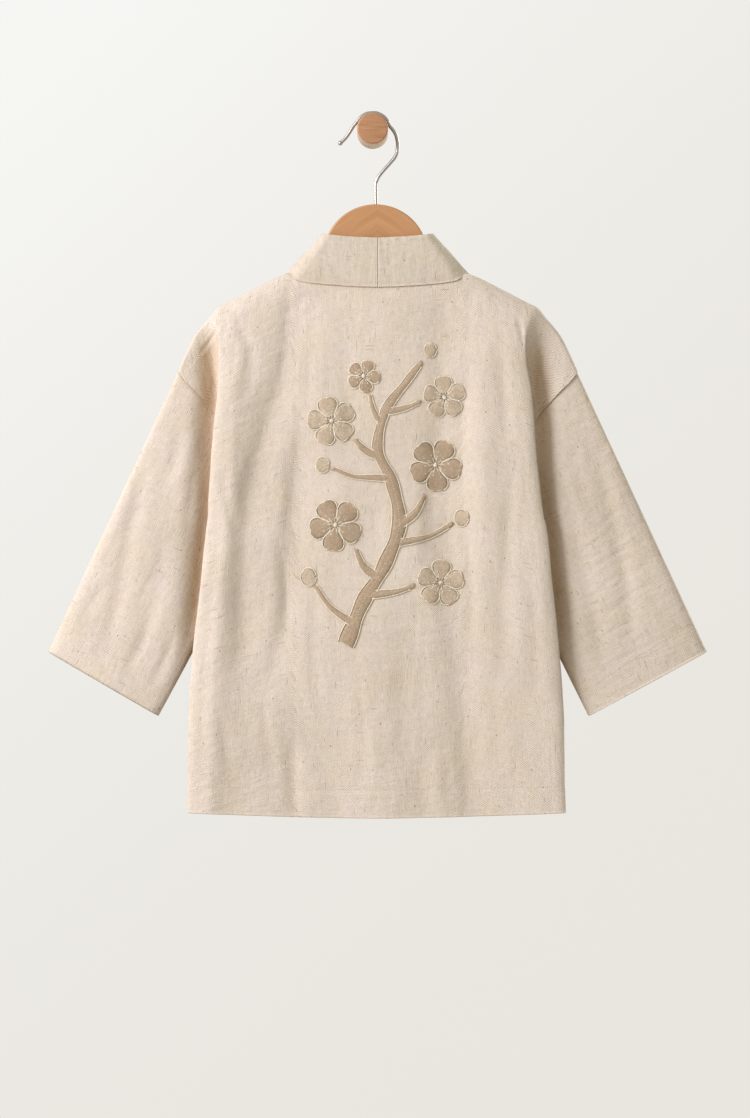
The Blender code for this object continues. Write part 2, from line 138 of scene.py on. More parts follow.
# Soft folds: depth towards the wall, half width, how much wider on the +X side, path of x and down
Fold = namedtuple("Fold", "depth width lean path")
BACK_FOLDS = (
    Fold(-3.5, 11, 1.4, ((-140, 40), (-143, 120), (-148, 220), (-156, 330), (-164, 440), (-168, 700))),
    Fold(3.4, 10, 2.2, (
        (-78, -60), (-87, 50), (-97, 105), (-108, 145), (-122, 190), (-131, 235), (-134, 290),
        (-131, 400), (-128, 480))),
    Fold(3.4, 9, 2.4, ((-74, 90), (-77, 145), (-84, 225), (-89, 305), (-94, 350), (-112, 410), (-140, 450))),
    Fold(1.8, 14, 1.0, ((-134, 265), (-141, 325), (-138, 365), (-152, 415))),
    Fold(1.5, 6, 1.0, ((-138, 40), (-132, 72))),
    Fold(2.5, 8, 1.0, ((-85, 455), (-84, 560))),
    Fold(5.0, 17, 1.5, (
        (67, -60), (66, 125), (63, 205), (67, 285), (77, 365), (90, 450), (97, 560), (100, 760))),
    Fold(2.0, 10, 1.0, ((120, 285), (127, 365), (122, 425))),
    Fold(2.0, 13, 1.0, ((42, 440), (46, 540), (50, 700))),
    Fold(-4.2, 36, 1.0, ((-2, 260), (2, 420), (4, 740))),
    Fold(-3.0, 14, 1.0, ((102, 40), (106, 200), (110, 365))),
)
FRONT_FOLDS = (
    Fold(-4.0, 12, 1.0, ((-86, 70), (-96, 200), (-104, 380), (-112, 600))),
    Fold(-2.5, 11, 1.0, ((-136, 190), (-141, 330), (-146, 450))),
    Fold(-3.5, 12, 1.0, ((80, 60), (92, 230), (96, 420), (110, 600))),
    Fold(-3.0, 11, 1.0, ((128, 150), (136, 300), (142, 430))),
)
SLEEVE_FOLDS = (
    Fold(2.0, 8, 1.0, ((-236, 205), (-262, 330), (-276, 395))),
    Fold(1.6, 9, 1.0, ((-205, 270), (-238, 370), (-252, 420))),
    Fold(2.2, 8, 1.0, ((215, 160), (242, 270), (262, 400))),
    Fold(1.8, 9, 1.0, ((196, 230), (214, 330), (236, 425))),
)

# A sleeve's flattened loop at its armhole and at its cuff
ARMHOLE_ROUND = 2.4
ARMHOLE_HALF = 4.1
CUFF_ROUND = 4.5
CUFF_HALF = 9.0

# Peg, hanger and hook wire as the frame has them: x and height
PEG_RADIUS = 15.6
PEG_LENGTH = 55.0
PEG_ROUND = 1.6
HANGER_Y = -34.0
HANGER_THICK = 12.0
HANGER_ROUND = 1.8
HUB_RADIUS = 53.0
HUB_TURN = 65.0
HUB_TOP_Z = -74.6
HUB_SHIFT = -1.9
WIRE_RADIUS = 1.8
SEAM_GAP = 0.3
HOOK_STEM = (
    (3.4, -74.2), (3.1, -55.3), (5.1, -48.3), (9.8, -41.7), (16.4, -34.3), (22.4, -26.9),
    (24.6, -21.3), (25.2, -14.9), (24.0, -6.8),
)
HOOK_FROM = 15.0
HOOK_TURN = 135.0
BALL_RADIUS = 2.4
HOOK_TAIL = ((-19.9, 3.2), (-23.6, -2.8), (-27.8, -8.5), (-32.4, -12.9))

# Soft creases: from and to in x and down, sideways bend, depth and width
Crease = namedtuple("Crease", "x0 down0 x1 down1 bend depth width")
BACK_CREASES = [Crease(*row) for row in (
    (-157, 46, -181, 80, 2, 0.8, 1.8), (-168, 102, -158, 112, 0, 0.5, 1.4),
    (-128, 60, -136, 128, 4, 0.9, 5.0), (-60, 40, -66, 150, -5, 0.7, 6.0), (-34, 60, -30, 190, 3, 0.5, 6.0),
    (-150, 190, -140, 262, -4, 0.9, 4.5), (-104, 250, -92, 372, 6, 0.8, 5.0),
    (-62, 300, -56, 440, -4, 0.7, 6.5), (-118, 420, -108, 512, 3, 0.8, 5.0),
    (-160, 430, -150, 505, 3, 0.9, 5.0), (-20, 400, -14, 512, 2, 0.6, 6.0),
    (24, 380, 30, 505, -3, 0.6, 6.5), (52, 180, 46, 300, 3, 0.6, 5.5), (92, 90, 84, 240, -4, 0.8, 6.0),
    (86, 250, 92, 380, 5, 0.7, 5.0), (118, 60, 128, 170, 4, 0.8, 5.0), (136, 190, 132, 330, -4, 0.7, 5.0),
    (150, 300, 158, 430, 3, 0.8, 5.0), (112, 400, 120, 508, 3, 0.8, 5.0), (66, 470, 74, 541, 0, 0.6, 5.0),
    (-40, 520, -37, 543, 0, 0.5, 3.0), (12, 519, 10, 543, 0, 0.5, 3.0), (-130, 518, -127, 541, 0, 0.6, 3.5),
    (134, 516, 138, 541, 0, 0.6, 3.5), (-70, 18, -96, 40, 2, 0.5, 4.0), (74, 20, 98, 48, -2, 0.5, 4.0),
    (138, 40, 146, 78, 2, 0.8, 2.2), (-137, 150, -111, 155, 1, 0.35, 1.5),
    (-134, 161, -113, 162, 1, 0.3, 1.4), (-128, 140, -108, 143, 0, 0.25, 1.4),
)]
FRONT_CREASES = [Crease(*row) for row in (
    (-120, 60, -132, 190, 4, 0.8, 5.0), (-72, 200, -78, 330, -4, 0.7, 6.0),
    (-126, 300, -120, 470, 5, 0.8, 5.0), (-66, 400, -70, 520, 2, 0.7, 5.0), (64, 240, 72, 400, 4, 0.7, 6.0),
    (112, 120, 122, 260, -4, 0.8, 5.0), (146, 240, 150, 380, 3, 0.8, 5.0), (76, 420, 84, 530, 2, 0.7, 5.0),
    (132, 400, 138, 520, -2, 0.8, 5.0),
)]
SLEEVE_CREASES = [Crease(*row) for row in (
    (-196, 150, -216, 214, 3, 0.9, 5.0), (-178, 178, -190, 262, -3, 1.0, 4.5),
    (-232, 190, -262, 270, 4, 0.7, 5.5), (-214, 262, -240, 330, 4, 0.8, 4.5),
    (-262, 300, -296, 352, -4, 0.7, 5.0), (-228, 344, -250, 392, 3, 0.7, 4.0),
    (-204, 352, -226, 412, 3, 0.8, 4.0), (-286, 366, -270, 402, 2, 0.5, 3.5),
    (219, 256, 251, 230, 2, 0.7, 1.7), (203, 279, 233, 260, 2, 0.7, 1.8), (226, 221, 250, 208, 1, 0.6, 1.5),
    (214, 240, 236, 222, 1, 0.5, 1.6), (196, 166, 214, 236, -4, 0.7, 5.0),
    (180, 190, 200, 300, 5, 0.8, 5.0), (208, 300, 262, 268, 3, 0.6, 1.9), (214, 322, 250, 296, 2, 0.6, 1.8),
    (236, 312, 272, 292, 2, 0.5, 1.6), (226, 342, 280, 306, 3, 0.6, 2.0), (222, 366, 262, 342, 2, 0.6, 1.8),
    (252, 372, 296, 350, 3, 0.5, 1.7), (228, 392, 270, 372, 2, 0.5, 1.8), (232, 408, 262, 396, 1, 0.4, 1.6),
    (262, 332, 300, 318, 2, 0.4, 1.6),
)]
COLLAR_CREASES = [Crease(*row) for row in (
    (-25.5, -34, -26, -23, 0, 0.9, 1.3), (14.5, -6, 15, 8, 0, 0.9, 1.4), (32, -30, 22, -5, 1, 0.8, 2.0),
    (20, -11, 52, -14, 1, 0.7, 2.4), (-50, -28, -40, -2, -1, 0.7, 2.6), (-70, -34, -64, -8, 1, 0.6, 2.4),
    (66, -36, 62, -10, -1, 0.8, 2.4), (84, -36, 82, -14, 1, 0.7, 2.0), (-86, -34, -83, -14, 0, 0.7, 2.0),
    (-8, -32, -7, -18, 0, 0.5, 2.2), (48, -14, 44, 4, 0, 0.6, 2.2), (58, 10, 48, 22, 0, 0.8, 2.5),
    (40, 60, 34, 74, 0, 0.8, 2.5), (26, 150, 30, 190, 2, 0.7, 4.0), (22, 300, 28, 350, -2, 0.7, 4.0),
    (30, 420, 24, 470, 2, 0.7, 4.0), (-58, 12, -46, 24, 0, 0.8, 2.5), (-38, 70, -32, 88, 0, 0.8, 2.5),
    (-24, 200, -30, 250, 2, 0.7, 4.0), (-30, 380, -24, 430, -2, 0.7, 4.0),
)]

# A plum branch in blossom: branches as knots of x, down and size; flowers with radius and turn
BRANCHES = (
    ((-32, 370, 15.5), (-15, 328, 15.0), (8, 288, 14.0), (22, 246, 13.0), (14, 206, 12.0),
     (0, 172, 11.0), (7, 138, 9.5), (28, 108, 7.5), (45, 86, 5.0)),
    ((21, 250, 8.5), (38, 238, 7.2), (48, 219, 5.0)),
    ((21, 268, 6.8), (50, 262, 5.6), (76, 248, 4.2)),
    ((-1, 181, 7.5), (-14, 174, 6.5), (-23, 163, 5.0)),
    ((11, 203, 6.4), (-20, 202, 5.2), (-46, 193, 4.0)),
    ((9, 137, 6.2), (28, 133, 5.4), (44, 126, 4.2)),
    ((5, 150, 6.0), (-4, 135, 5.0), (-8, 118, 4.0)),
    ((2, 304, 8.5), (-14, 291, 7.2), (-22, 273, 5.0)),
    ((-7, 320, 7.6), (18, 317, 6.2), (38, 310, 4.6)),
    ((-23, 349, 7.2), (-46, 333, 6.0), (-63, 310, 4.2)),
)
BLOSSOMS = (
    (58, 190, 27, 12, False), (-46, 146, 25, 40, True), (67, 122, 22, -22, True),
    (-42, 250, 27, 25, False), (63, 308, 24, 58, True), (-14, 101, 17, 5, False),
)
BUDS = (
    (53, 75, 6.5, 20), (84, 243, 7.5, 80), (-55, 190, 7.0, -80), (-69, 302, 8.0, -40),
)
# Embroidery: spacing, height and radius of its threads, and its random seed
SATIN_PITCH = 0.72
SATIN_RADIUS = 0.42
BRANCH_RAISED = 1.15
PETAL_RAISED = 1.25
BUD_RAISED = 1.1
HEART_RAISED = 1.5
STEM_RADIUS = 0.56
STEM_RUN = 4.4
STEM_RAISED = 0.75
BEAD_RADIUS = 0.34
BEAD_LENGTH = 1.7
EMBROIDERY_SEED = 41

# Distance between the twill's ribs across and along the linen, in metres
TWILL_PITCH = 0.0023
# Fibres in the linen: length and width of their cells in metres, turn, size, share left out, strength
FIBRES = (
    (0.034, 0.020, 0.5, 0.045, 0.45, 0.60), (0.055, 0.040, 1.1, 0.020, 0.35, 0.90),
    (0.070, 0.010, 0.0, 0.075, 0.40, 0.17), (0.009, 0.080, 0.0, 0.08, 0.30, 0.22),
    (0.050, 0.011, 0.6, 0.07, 0.45, 0.15), (0.050, 0.011, -0.7, 0.07, 0.45, 0.15),
)

# How far the scene's light brightens a surface, and the lights: name, place, size, watts and colour
LIGHT = 1.6
LIGHT_TARGET = (0.0, -0.03, -0.42)
LIGHTS = (
    ("key", (-1.95, -1.40, 0.6), 1.4, 99.0, (1.0, 0.99, 1.12)),
    ("back key", (1.95, 1.35, 0.5), 1.5, 52.0, (1.0, 0.98, 0.96)),
)
FLOOR_Z = -1.6
FLOOR_RADIUS = 4.4
CAMERA_PLACE = (0.0024, -4.40, -0.4303)
LENS = 140.07


def keyed(rows, key):
    """Read a table at a key in its first column, on a smooth curve that never overshoots."""
    keys = [row[0] for row in rows]
    last = len(rows) - 1
    key = min(max(key, keys[0]), keys[last])
    i = 0
    while i < last - 1 and key > keys[i + 1]:
        i += 1
    span = keys[i + 1] - keys[i]
    t = (key - keys[i]) / span
    h00 = 2 * t ** 3 - 3 * t ** 2 + 1
    h10 = t ** 3 - 2 * t ** 2 + t
    h01 = 3 * t ** 2 - 2 * t ** 3
    h11 = t ** 3 - t ** 2
    values = []
    for c in range(1, len(rows[0])):
        slopes = [
            (rows[k + 1][c] - rows[k][c]) / (keys[k + 1] - keys[k])
            for k in range(max(i - 1, 0), min(i + 2, last))]
        here = slopes[1] if i > 0 else slopes[0]
        before = slopes[0]
        after = slopes[-1]
        m0 = tangent(before, here) if i > 0 else here
        m1 = tangent(here, after) if i + 1 < last else here
        values.append(h00 * rows[i][c] + h10 * span * m0 + h01 * rows[i + 1][c] + h11 * span * m1)
    return values


def tangent(before, after):
    """The slope at a knot: none at a peak, else between its neighbours."""
    if before * after <= 0:
        return 0.0
    return 2 * before * after / (before + after)


def indexed(rows, u):
    """Read a table at a row number that may lie between rows."""
    return keyed([(i, *row) for i, row in enumerate(rows)], u)


def smoothstep(t):
    t = min(max(t, 0.0), 1.0)
    return t * t * (3 - 2 * t)


def mix(a, b, t):
    """The point at a share of the way from one to another."""
    return tuple(p + (q - p) * t for p, q in zip(a, b))


def polar(centre, reach, angle):
    return (centre[0] + reach * math.cos(angle), centre[1] + reach * math.sin(angle))


def turns(count):
    """Even angles once round."""
    return [2 * math.pi * k / count for k in range(count)]


def bell(values, centre, width):
    """A smooth bump: 1 at its centre and low beyond its width."""
    return np.exp(-((values - centre) / width) ** 2)


def unit(vectors):
    return vectors / np.maximum(np.linalg.norm(vectors, axis=-1, keepdims=True), 1e-12)


def fold_offset(folds, x, down):
    """How far the folds push a point towards the wall."""
    push = 0.0
    for fold in folds:
        top = fold.path[0][1]
        bottom = fold.path[-1][1]
        if not top < down < bottom:
            continue
        line = [(d, px) for px, d in fold.path]
        off = (x - keyed(line, down)[0]) / fold.width
        if off > 0:
            off /= fold.lean
        reach = 0.3 * (bottom - top)
        fade = smoothstep((down - top) / reach) * smoothstep((bottom - down) / reach)
        push += fold.depth * fade * math.exp(-off * off)
    return push


def half_section(row, side):
    """Points of one back section from the centre line to the seam, as x, y and down."""
    crest_x = row.crest_left if side < 0 else row.crest_right
    valley_x = row.valley_x - VALLEY_LEAN * (row.crest_left - crest_x)
    crest = (crest_x, row.crest_y, row.crest_down)
    neck = (NECK_X, row.neck_y, row.neck_down)
    valley = (valley_x, row.valley_y, row.valley_down)
    lead = list(mix(neck, crest, 1 - CREST_LEAD / (crest_x - NECK_X)))
    lead[1] += (row.crest_y - lead[1]) * row.turn
    tip = (crest_x, row.crest_y + CREST_OUT * row.turn, row.crest_down)
    turned = (crest_x - CREST_BACK_X, row.crest_y + CREST_BACK_Y, row.crest_down)
    back = mix(mix(crest, valley, CREST_SHARE), turned, row.turn)
    seam = (row.seam_x, row.seam_y, row.seam_down)
    flat_lip = mix(seam, valley, LIP / math.dist(seam, valley))
    turned_lip = (row.seam_x + 0.1 * LIP, row.seam_y - LIP, row.seam_down)
    return [
        (0.0, row.centre_y, row.centre_down),
        (INNER_X, row.inner_y, row.inner_down),
        neck, tuple(lead), tip, back, valley,
        mix(flat_lip, turned_lip, row.lip), seam]


def spread(points, steps):
    """Resample a path: so many steps in each of its spans."""
    out = []
    for i, count in enumerate(steps):
        for k in range(count):
            out.append(indexed(points, i + k / count))
    out.append(list(points[-1]))
    return out


def back_section(u):
    """One whole section of the back, left seam to right seam, with its folds."""
    row = BackRow(*indexed(BACK_ROWS, u))
    left = [(-x, y, down) for x, y, down in half_section(row, -1)]
    right = half_section(row, 1)
    path = spread(left[::-1] + right[1:], BACK_STEPS[::-1] + BACK_STEPS)
    to_lead, to_valley = sum(BACK_STEPS[:4]), sum(BACK_STEPS[4:6])
    points = []
    for i, (x, y, down) in enumerate(path):
        from_centre = abs(i - sum(BACK_STEPS))
        crest_x = row.crest_left if x < 0 else row.crest_right
        room = smoothstep((crest_x - abs(x)) / FOLD_MARGIN) * smoothstep((u - 1) / 2)
        if from_centre <= to_lead and room > 0:
            y += room * fold_offset(BACK_FOLDS, x, down)
        past = smoothstep((from_centre - to_lead) / to_valley) * smoothstep(u / 2)
        if past > 0:
            y += past * valley_dip(math.copysign(1, x), abs(x), down)
        points.append((x, y, down))
    return points


def mirrored(y):
    return 2 * MIDDLE_Y - y


def front_section(u, side):
    """One section of a front, from the collar seam to the side seam, with its folds."""
    row = BackRow(*indexed(BACK_ROWS, u))
    edge = FrontEdge(*indexed(FRONT_EDGES, u))
    half = half_section(row, side)
    inset = FRONT_INSET * smoothstep(u / 3)
    outer = []
    for x, y, down in half[3:]:
        outer.append((x, mirrored(y), down))
    for k in range(3):
        x, y, down = outer[k]
        outer[k] = (x - inset, y, down)
    share = (FRONT_MIDDLE_X - edge.x) / (outer[0][0] - edge.x)
    middle_down = edge.down + (outer[0][2] - edge.down) * share
    middle = (FRONT_MIDDLE_X, mirrored(row.neck_y), middle_down)
    path = spread([tuple(edge), middle] + outer, FRONT_STEPS)
    points = []
    for i, (x, y, down) in enumerate(path):
        room = smoothstep((row.crest_right - inset - x) / FOLD_MARGIN)
        room *= smoothstep((x - edge.x) / EDGE_MARGIN) * smoothstep((u - 1) / 2)
        if room > 0 and y > outer[0][1] - 8:
            y += room * fold_offset(FRONT_FOLDS, side * x, down)
        past = smoothstep((i - sum(FRONT_STEPS[:3])) / sum(FRONT_STEPS[3:5])) * smoothstep(u / 2)
        if past > 0 and u < UNDERARM_ROW:
            y += FRONT_DIP * past * valley_dip(side, x, down)
        points.append((side * x, y, down))
    return points


def armhole_knots():
    """The armhole seam as a table of distance from the ridge, x and down."""
    knots = []
    distance = 0.0
    for i, row in enumerate(BACK_ROWS[:UNDERARM_ROW + 1]):
        if i > 0:
            last = BACK_ROWS[i - 1]
            distance += math.hypot(row.seam_x - last.seam_x, row.seam_down - last.seam_down)
        knots.append((distance, row.seam_x, row.seam_down))
    return knots


def flat_loop(width, rounding, half, count):
    """A flattened round loop as (distance across, half thickness), one side only."""
    places = [0.0, 0.3 * rounding, rounding * 0.95]
    inner = width - 2 * rounding
    for k in range(1, count):
        places.append(rounding + inner * (0.5 - 0.5 * math.cos(math.pi * (0.08 + 0.84 * k / count))))
    places += [width - rounding * 0.95, width - 0.3 * rounding, width]
    loop = []
    for at in places:
        end = min(at, width - at)
        if end < rounding:
            loop.append((at, math.sqrt(max(rounding ** 2 - (rounding - end) ** 2, 0.0))))
        else:
            wave = math.sin(math.pi * (at - rounding) / inner)
            loop.append((at, rounding + (half - rounding) * max(wave, 0.0) ** 0.5))
    return loop


def valley_dip(side, x, down):
    """How far the cloth sinks towards the wall beside the body's crest, at a place of the table."""
    crest_rows = [(row.crest_down, row.crest_left if side < 0 else row.crest_right) for row in BACK_ROWS]
    off = x - keyed(crest_rows, down)[0] - DIP_LEAD * smoothstep((240 - down) / 100)
    off = max(off, 0) / DIP_OUTER_WIDTH + max(DIP_INSIDE - off, 0) / DIP_INNER_WIDTH
    fade = smoothstep((down - DIP_FROM) / (DIP_FULL - DIP_FROM))
    fade *= smoothstep((DIP_TO - down) / (DIP_TO - DIP_FADES))
    return DIP_DEPTH * fade * math.exp(-off * off)


def sleeve_section(t, side, count):
    """One closed loop of a sleeve, from its ridge round the back and the front."""
    armhole = armhole_knots()
    arm_width = armhole[-1][0] - ARMHOLE_LAP - UNDERARM_LAP
    cuff_inner = CUFF_INNER_LEFT if side < 0 else CUFF_INNER_RIGHT
    cuff_width = math.dist(CUFF_OUTER, cuff_inner)
    arm = flat_loop(arm_width, ARMHOLE_ROUND, ARMHOLE_HALF, count)
    cuff = flat_loop(cuff_width, CUFF_ROUND, CUFF_HALF, count)
    grow = t ** 0.6
    back = []
    front = []
    for (arm_at, arm_half), (cuff_at, cuff_half) in zip(arm, cuff):
        start = keyed(armhole, arm_at + ARMHOLE_LAP)
        end = mix(CUFF_OUTER, cuff_inner, cuff_at / cuff_width)
        x, down = mix(start, end, t + SEAM_START * (1 - t))
        half = arm_half + (cuff_half - arm_half) * grow
        half += SEAM_RAISE * smoothstep(1 - t / 0.07) * min(arm_half / ARMHOLE_HALF, 1.0)
        room = smoothstep((half - 3.0) / 3.0) * smoothstep(t / 0.2)
        push = room * fold_offset(SLEEVE_FOLDS, side * x, down)
        edge = min(arm_at, cuff_at * arm_width / cuff_width)
        dip = valley_dip(side, x, down) * smoothstep(edge / 9.0)
        back.append((side * x, MIDDLE_Y - half + push + dip, down))
        front.append((side * x, MIDDLE_Y + half + FRONT_DIP * dip, down))
    return back + front[-2:0:-1]


def point_of(x, y, down):
    """A place of the jacket in metres, from its table sizes."""
    return ((AXIS_X + x) * MM, y * MM, (NECK_Z - down) * MM)


def grid_of(sections):
    return np.array([[point_of(*point) for point in row] for row in sections])


def table_places(grid):
    """The x and down of every point of a grid, in millimetres."""
    return grid[..., 0] / MM - AXIS_X, NECK_Z - grid[..., 2] / MM


def steps_down(grid, closed=False):
    """Vectors across and down a grid, at each of its points."""
    if closed:
        across = np.roll(grid, -1, 1) - np.roll(grid, 1, 1)
    else:
        across = np.gradient(grid, axis=1)
    return across, np.gradient(grid, axis=0)


def normals_of(grid, closed=False):
    across, down = steps_down(grid, closed)
    return unit(np.cross(across, down))


def outward(grid, look, closed=False):
    """A grid's normals on its outside, and whether they had to be turned for it.

    look is (row, column, direction): which way the outside faces at that point."""
    row, col, way = look
    normal = normals_of(grid, closed)
    turned = float(normal[row, col] @ np.array(way)) < 0
    return (-normal if turned else normal), turned


def lifted(grid, look, lift, closed=False):
    """The grid moved outwards, by a lift in millimetres at each point."""
    return grid + outward(grid, look, closed)[0] * (lift * MM)[..., None]


def cloth_uv(grid, closed=False):
    """Flat places on the cloth in metres: across it and along it."""
    wide = np.concatenate([grid, grid[:, :1]], axis=1) if closed else grid
    across = np.zeros(wide.shape[:2])
    across[:, 1:] = np.cumsum(np.linalg.norm(np.diff(wide, axis=1), axis=2), axis=1)
    if not closed:
        across -= across[:, wide.shape[1] // 2][:, None]
    along = np.zeros(wide.shape[:2])
    along[1:] = np.cumsum(np.linalg.norm(np.diff(wide, axis=0), axis=2), axis=0)
    return np.stack([across, along], axis=2)


def crease_field(creases, x, down):
    """How far creases lift the cloth, in millimetres: a trough between two low shoulders."""
    lift = np.zeros_like(x)
    for crease in creases:
        run_x, run_d = crease.x1 - crease.x0, crease.down1 - crease.down0
        length = math.hypot(run_x, run_d)
        t = ((x - crease.x0) * run_x + (down - crease.down0) * run_d) / length ** 2
        inside = np.clip(4 * t * (1 - t), 0, 1)
        off = ((x - crease.x0) * run_d - (down - crease.down0) * run_x) / length
        off = (off - crease.bend * inside) / crease.width
        shape = -bell(off, 0, 1) + 0.45 * bell(np.abs(off), 2.0, 1)
        lift += crease.depth * shape * inside ** 0.8
    return lift


def crumple(uv, seed, sizes):
    """Soft unevenness of linen, in millimetres, from octaves of (wavelength, height, stretch)."""
    lift = np.zeros(uv.shape[:2])
    for number, (wave, height, stretch) in enumerate(sizes):
        flat = uv.reshape(-1, 2) / (wave * MM)
        values = [
            noise.noise(Vector((a, b / stretch, seed + 7.3 * number))) for a, b in flat]
        lift += height * np.array(values).reshape(uv.shape[:2])
    return lift


# Flat cloth in metres: its widest, its longest with the hem, and its area with the hem
Flat = namedtuple("Flat", "width length area")

# Mesh columns and rows in each span of the tables
BACK_STEPS = [30, 6, 24, 6, 5, 6, 10, 3]
BACK_SPANS = [3, 6, 7, 10, 14, 16, 17, 15, 8, 3, 20, 30, 31, 32]
FRONT_STEPS = [20, 20, 5, 5, 6, 10, 3]
FRONT_SPANS = [3, 4, 5, 7, 10, 12, 12, 10, 6, 3, 14, 22, 22, 22]
COLLAR_SPANS = [6, 5, 6, 8, 10, 12, 12, 10, 6, 3, 14, 22, 22, 22]
SLEEVE_HALF_STEPS = 38
SLEEVE_ROWS = 104
SLEEVE_LEAD = (0.0, 0.008, 0.018)

# Shares of the band's width where its grid has columns for the rolled edge
RIDGE_COLUMNS = (0, 0.006, 0.013, 0.021, 0.03, 0.045)

# Mesh rows from the edge up to the hems' stitches
HEM_ROWS = 12
HEM_PITCH = 5.0
HEM_DENT = 0.35
CUFF_DENT = 0.3
HEM_WAVE = 0.35
HEM_WAVE_REACH = 16
DENT_WIDTH = 1.3

# How far from its borders a piece's creases fade out
BACK_BORDER = 14
FRONT_BORDER = 16
SLEEVE_BORDER = 18
BAND_BORDER = 3

# Seeds of each piece's unevenness, and where its weave starts on the pattern
BACK_SEED = 3.0
FRONT_SEED, FRONT_START = 11.0, 1.7
SLEEVE_SEED, SLEEVE_START = 21.0, 4.3
BAND_SEED, BAND_START = 31.0, 7.1

# How far the band's outer layer laps the neck seam and its inner layer stays off it: all along it, and
# further at its corners, then its ridge as height, place and width, and its seam at the centre back
LAP, LAP_LESS = -1.6, 0.8
BACK_OFF, BACK_MORE = 0.7, 0.9
RIDGE = (0.55, 0.8, 0.65)
RIDGE_FOOT = (-0.3, 2.4, 0.8)
BAND_SEAM = (0.6, 1.2, 0.9)

# Rows and columns of each cloth piece, and whether it is a tube
SHAPES = {}

# Unevenness as octaves of wavelength, height and stretch
CRUMPLE = ((46, 1.2, 2.6), (19, 0.45, 1.7), (8.5, 0.2, 1.3))
SLEEVE_CRUMPLE = ((50, 0.9, 1.6), (20, 0.35, 1.4), (9, 0.2, 1.2))
COLLAR_CRUMPLE = ((30, 0.5, 1.5), (9, 0.25, 1.2))


def rows_down(spans):
    """Row numbers of a table for a grid's rows, with so many in each span."""
    return [i + k / count for i, count in enumerate(spans) for k in range(count)] + [len(spans)]


def from_edge(uv):
    """How far each point lies above the cloth's bottom edge, in millimetres."""
    return (uv[-1, :, 1] - uv[..., 1]) / MM


def hem_dent(uv, hem, depth):
    """The dent of a hem's sewn line, with the small puckers along it, in millimetres."""
    along = uv[..., 0] / MM
    pucker = 0.75 + 0.25 * np.sin(along * 2 * math.pi / HEM_PITCH + 1.3 * np.sin(along / 17.0))
    return -depth * pucker * bell(from_edge(uv) - hem + 2, 0, DENT_WIDTH)


def quads_of(index, uv, closed, turned):
    """Faces between the rows of a grid of vertex numbers, with their places on the cloth."""
    if closed:
        index = np.concatenate([index, index[:, :1]], axis=1)
    corners = [(slice(0, -1), slice(0, -1)), (slice(0, -1), slice(1, None)),
               (slice(1, None), slice(1, None)), (slice(1, None), slice(0, -1))]
    if turned:
        corners = corners[::-1]
    faces = np.stack([index[corner] for corner in corners], axis=-1).reshape(-1, 4)
    places = np.stack([uv[corner] for corner in corners], axis=-2).reshape(-1, 4, 2)
    return faces, places


def add_object(name, data):
    """A new object in the scene with this mesh, curve, light or camera."""
    obj = bpy.data.objects.new(name, data)
    bpy.context.scene.collection.objects.link(obj)
    return obj


def build_mesh(name, points, faces, places, material):
    """A smooth mesh object from arrays of points, four-sided faces and their UVs."""
    mesh = bpy.data.meshes.new(name)
    mesh.vertices.add(len(points))
    mesh.vertices.foreach_set("co", np.asarray(points, dtype=np.float32).ravel())
    mesh.loops.add(faces.size)
    mesh.loops.foreach_set("vertex_index", faces.astype(np.int32).ravel())
    mesh.polygons.add(len(faces))
    mesh.polygons.foreach_set("loop_start", np.arange(0, faces.size, 4, dtype=np.int32))
    layer = mesh.uv_layers.new(name="cloth")
    layer.data.foreach_set("uv", np.asarray(places, dtype=np.float32).ravel())
    mesh.validate()
    mesh.update(calc_edges=True)
    mesh.shade_smooth()
    mesh.materials.append(material)
    return add_object(name, mesh)


def shell(name, grid, outside, inside, look, material, closed=False, uv=None):
    """A cloth wall on both sides of a grid, with a rounded rim along its open edges."""
    if uv is None:
        uv = cloth_uv(grid, closed)
    normal, turned = outward(grid, look, closed)
    outer = grid + normal * (outside * MM)[..., None]
    inner = grid - normal * (inside * MM)[..., None]
    rows, cols = grid.shape[:2]
    SHAPES[name] = (rows, cols, closed)
    count = rows * cols
    index = np.arange(count).reshape(rows, cols)
    points = [outer.reshape(-1, 3), inner.reshape(-1, 3)]
    walls = [quads_of(index, uv, closed, turned), quads_of(index + count, uv, closed, not turned)]
    across, down = steps_down(grid, closed)
    edges = [(0, slice(None), -down, False), (rows - 1, slice(None), down, True)]
    if not closed:
        edges += [(slice(None), 0, -across, True), (slice(None), cols - 1, across, False)]
    total = 2 * count
    for r, c, way_out, flip in edges:
        line = index[r, c]
        bulge = 0.55 * 0.5 * (outside + inside)[r, c] * MM
        points.append(0.5 * (outer[r, c] + inner[r, c]) + unit(way_out[r, c]) * bulge[:, None])
        strip = np.stack([line, np.arange(total, total + len(line)), line + count])
        total += len(line)
        walls.append(quads_of(strip, np.stack([uv[r, c]] * 3), closed, flip != turned))
    faces, places = zip(*walls)
    return build_mesh(
        name, np.concatenate(points), np.concatenate(faces), np.concatenate(places), material)


def room_inside(uv, reach, top=True, sides=True):
    """How free each point of a sheet is to move: none at the chosen borders, all beyond reach."""
    across, along = uv[..., 0], uv[..., 1]
    room = np.ones(uv.shape[:2])
    if top:
        room *= np.clip(along / (reach * MM), 0, 1)
    if sides:
        room *= np.clip((across - across[:, :1]) / (reach * MM), 0, 1)
        room *= np.clip((across[:, -1:] - across) / (reach * MM), 0, 1)
    return room ** 1.3


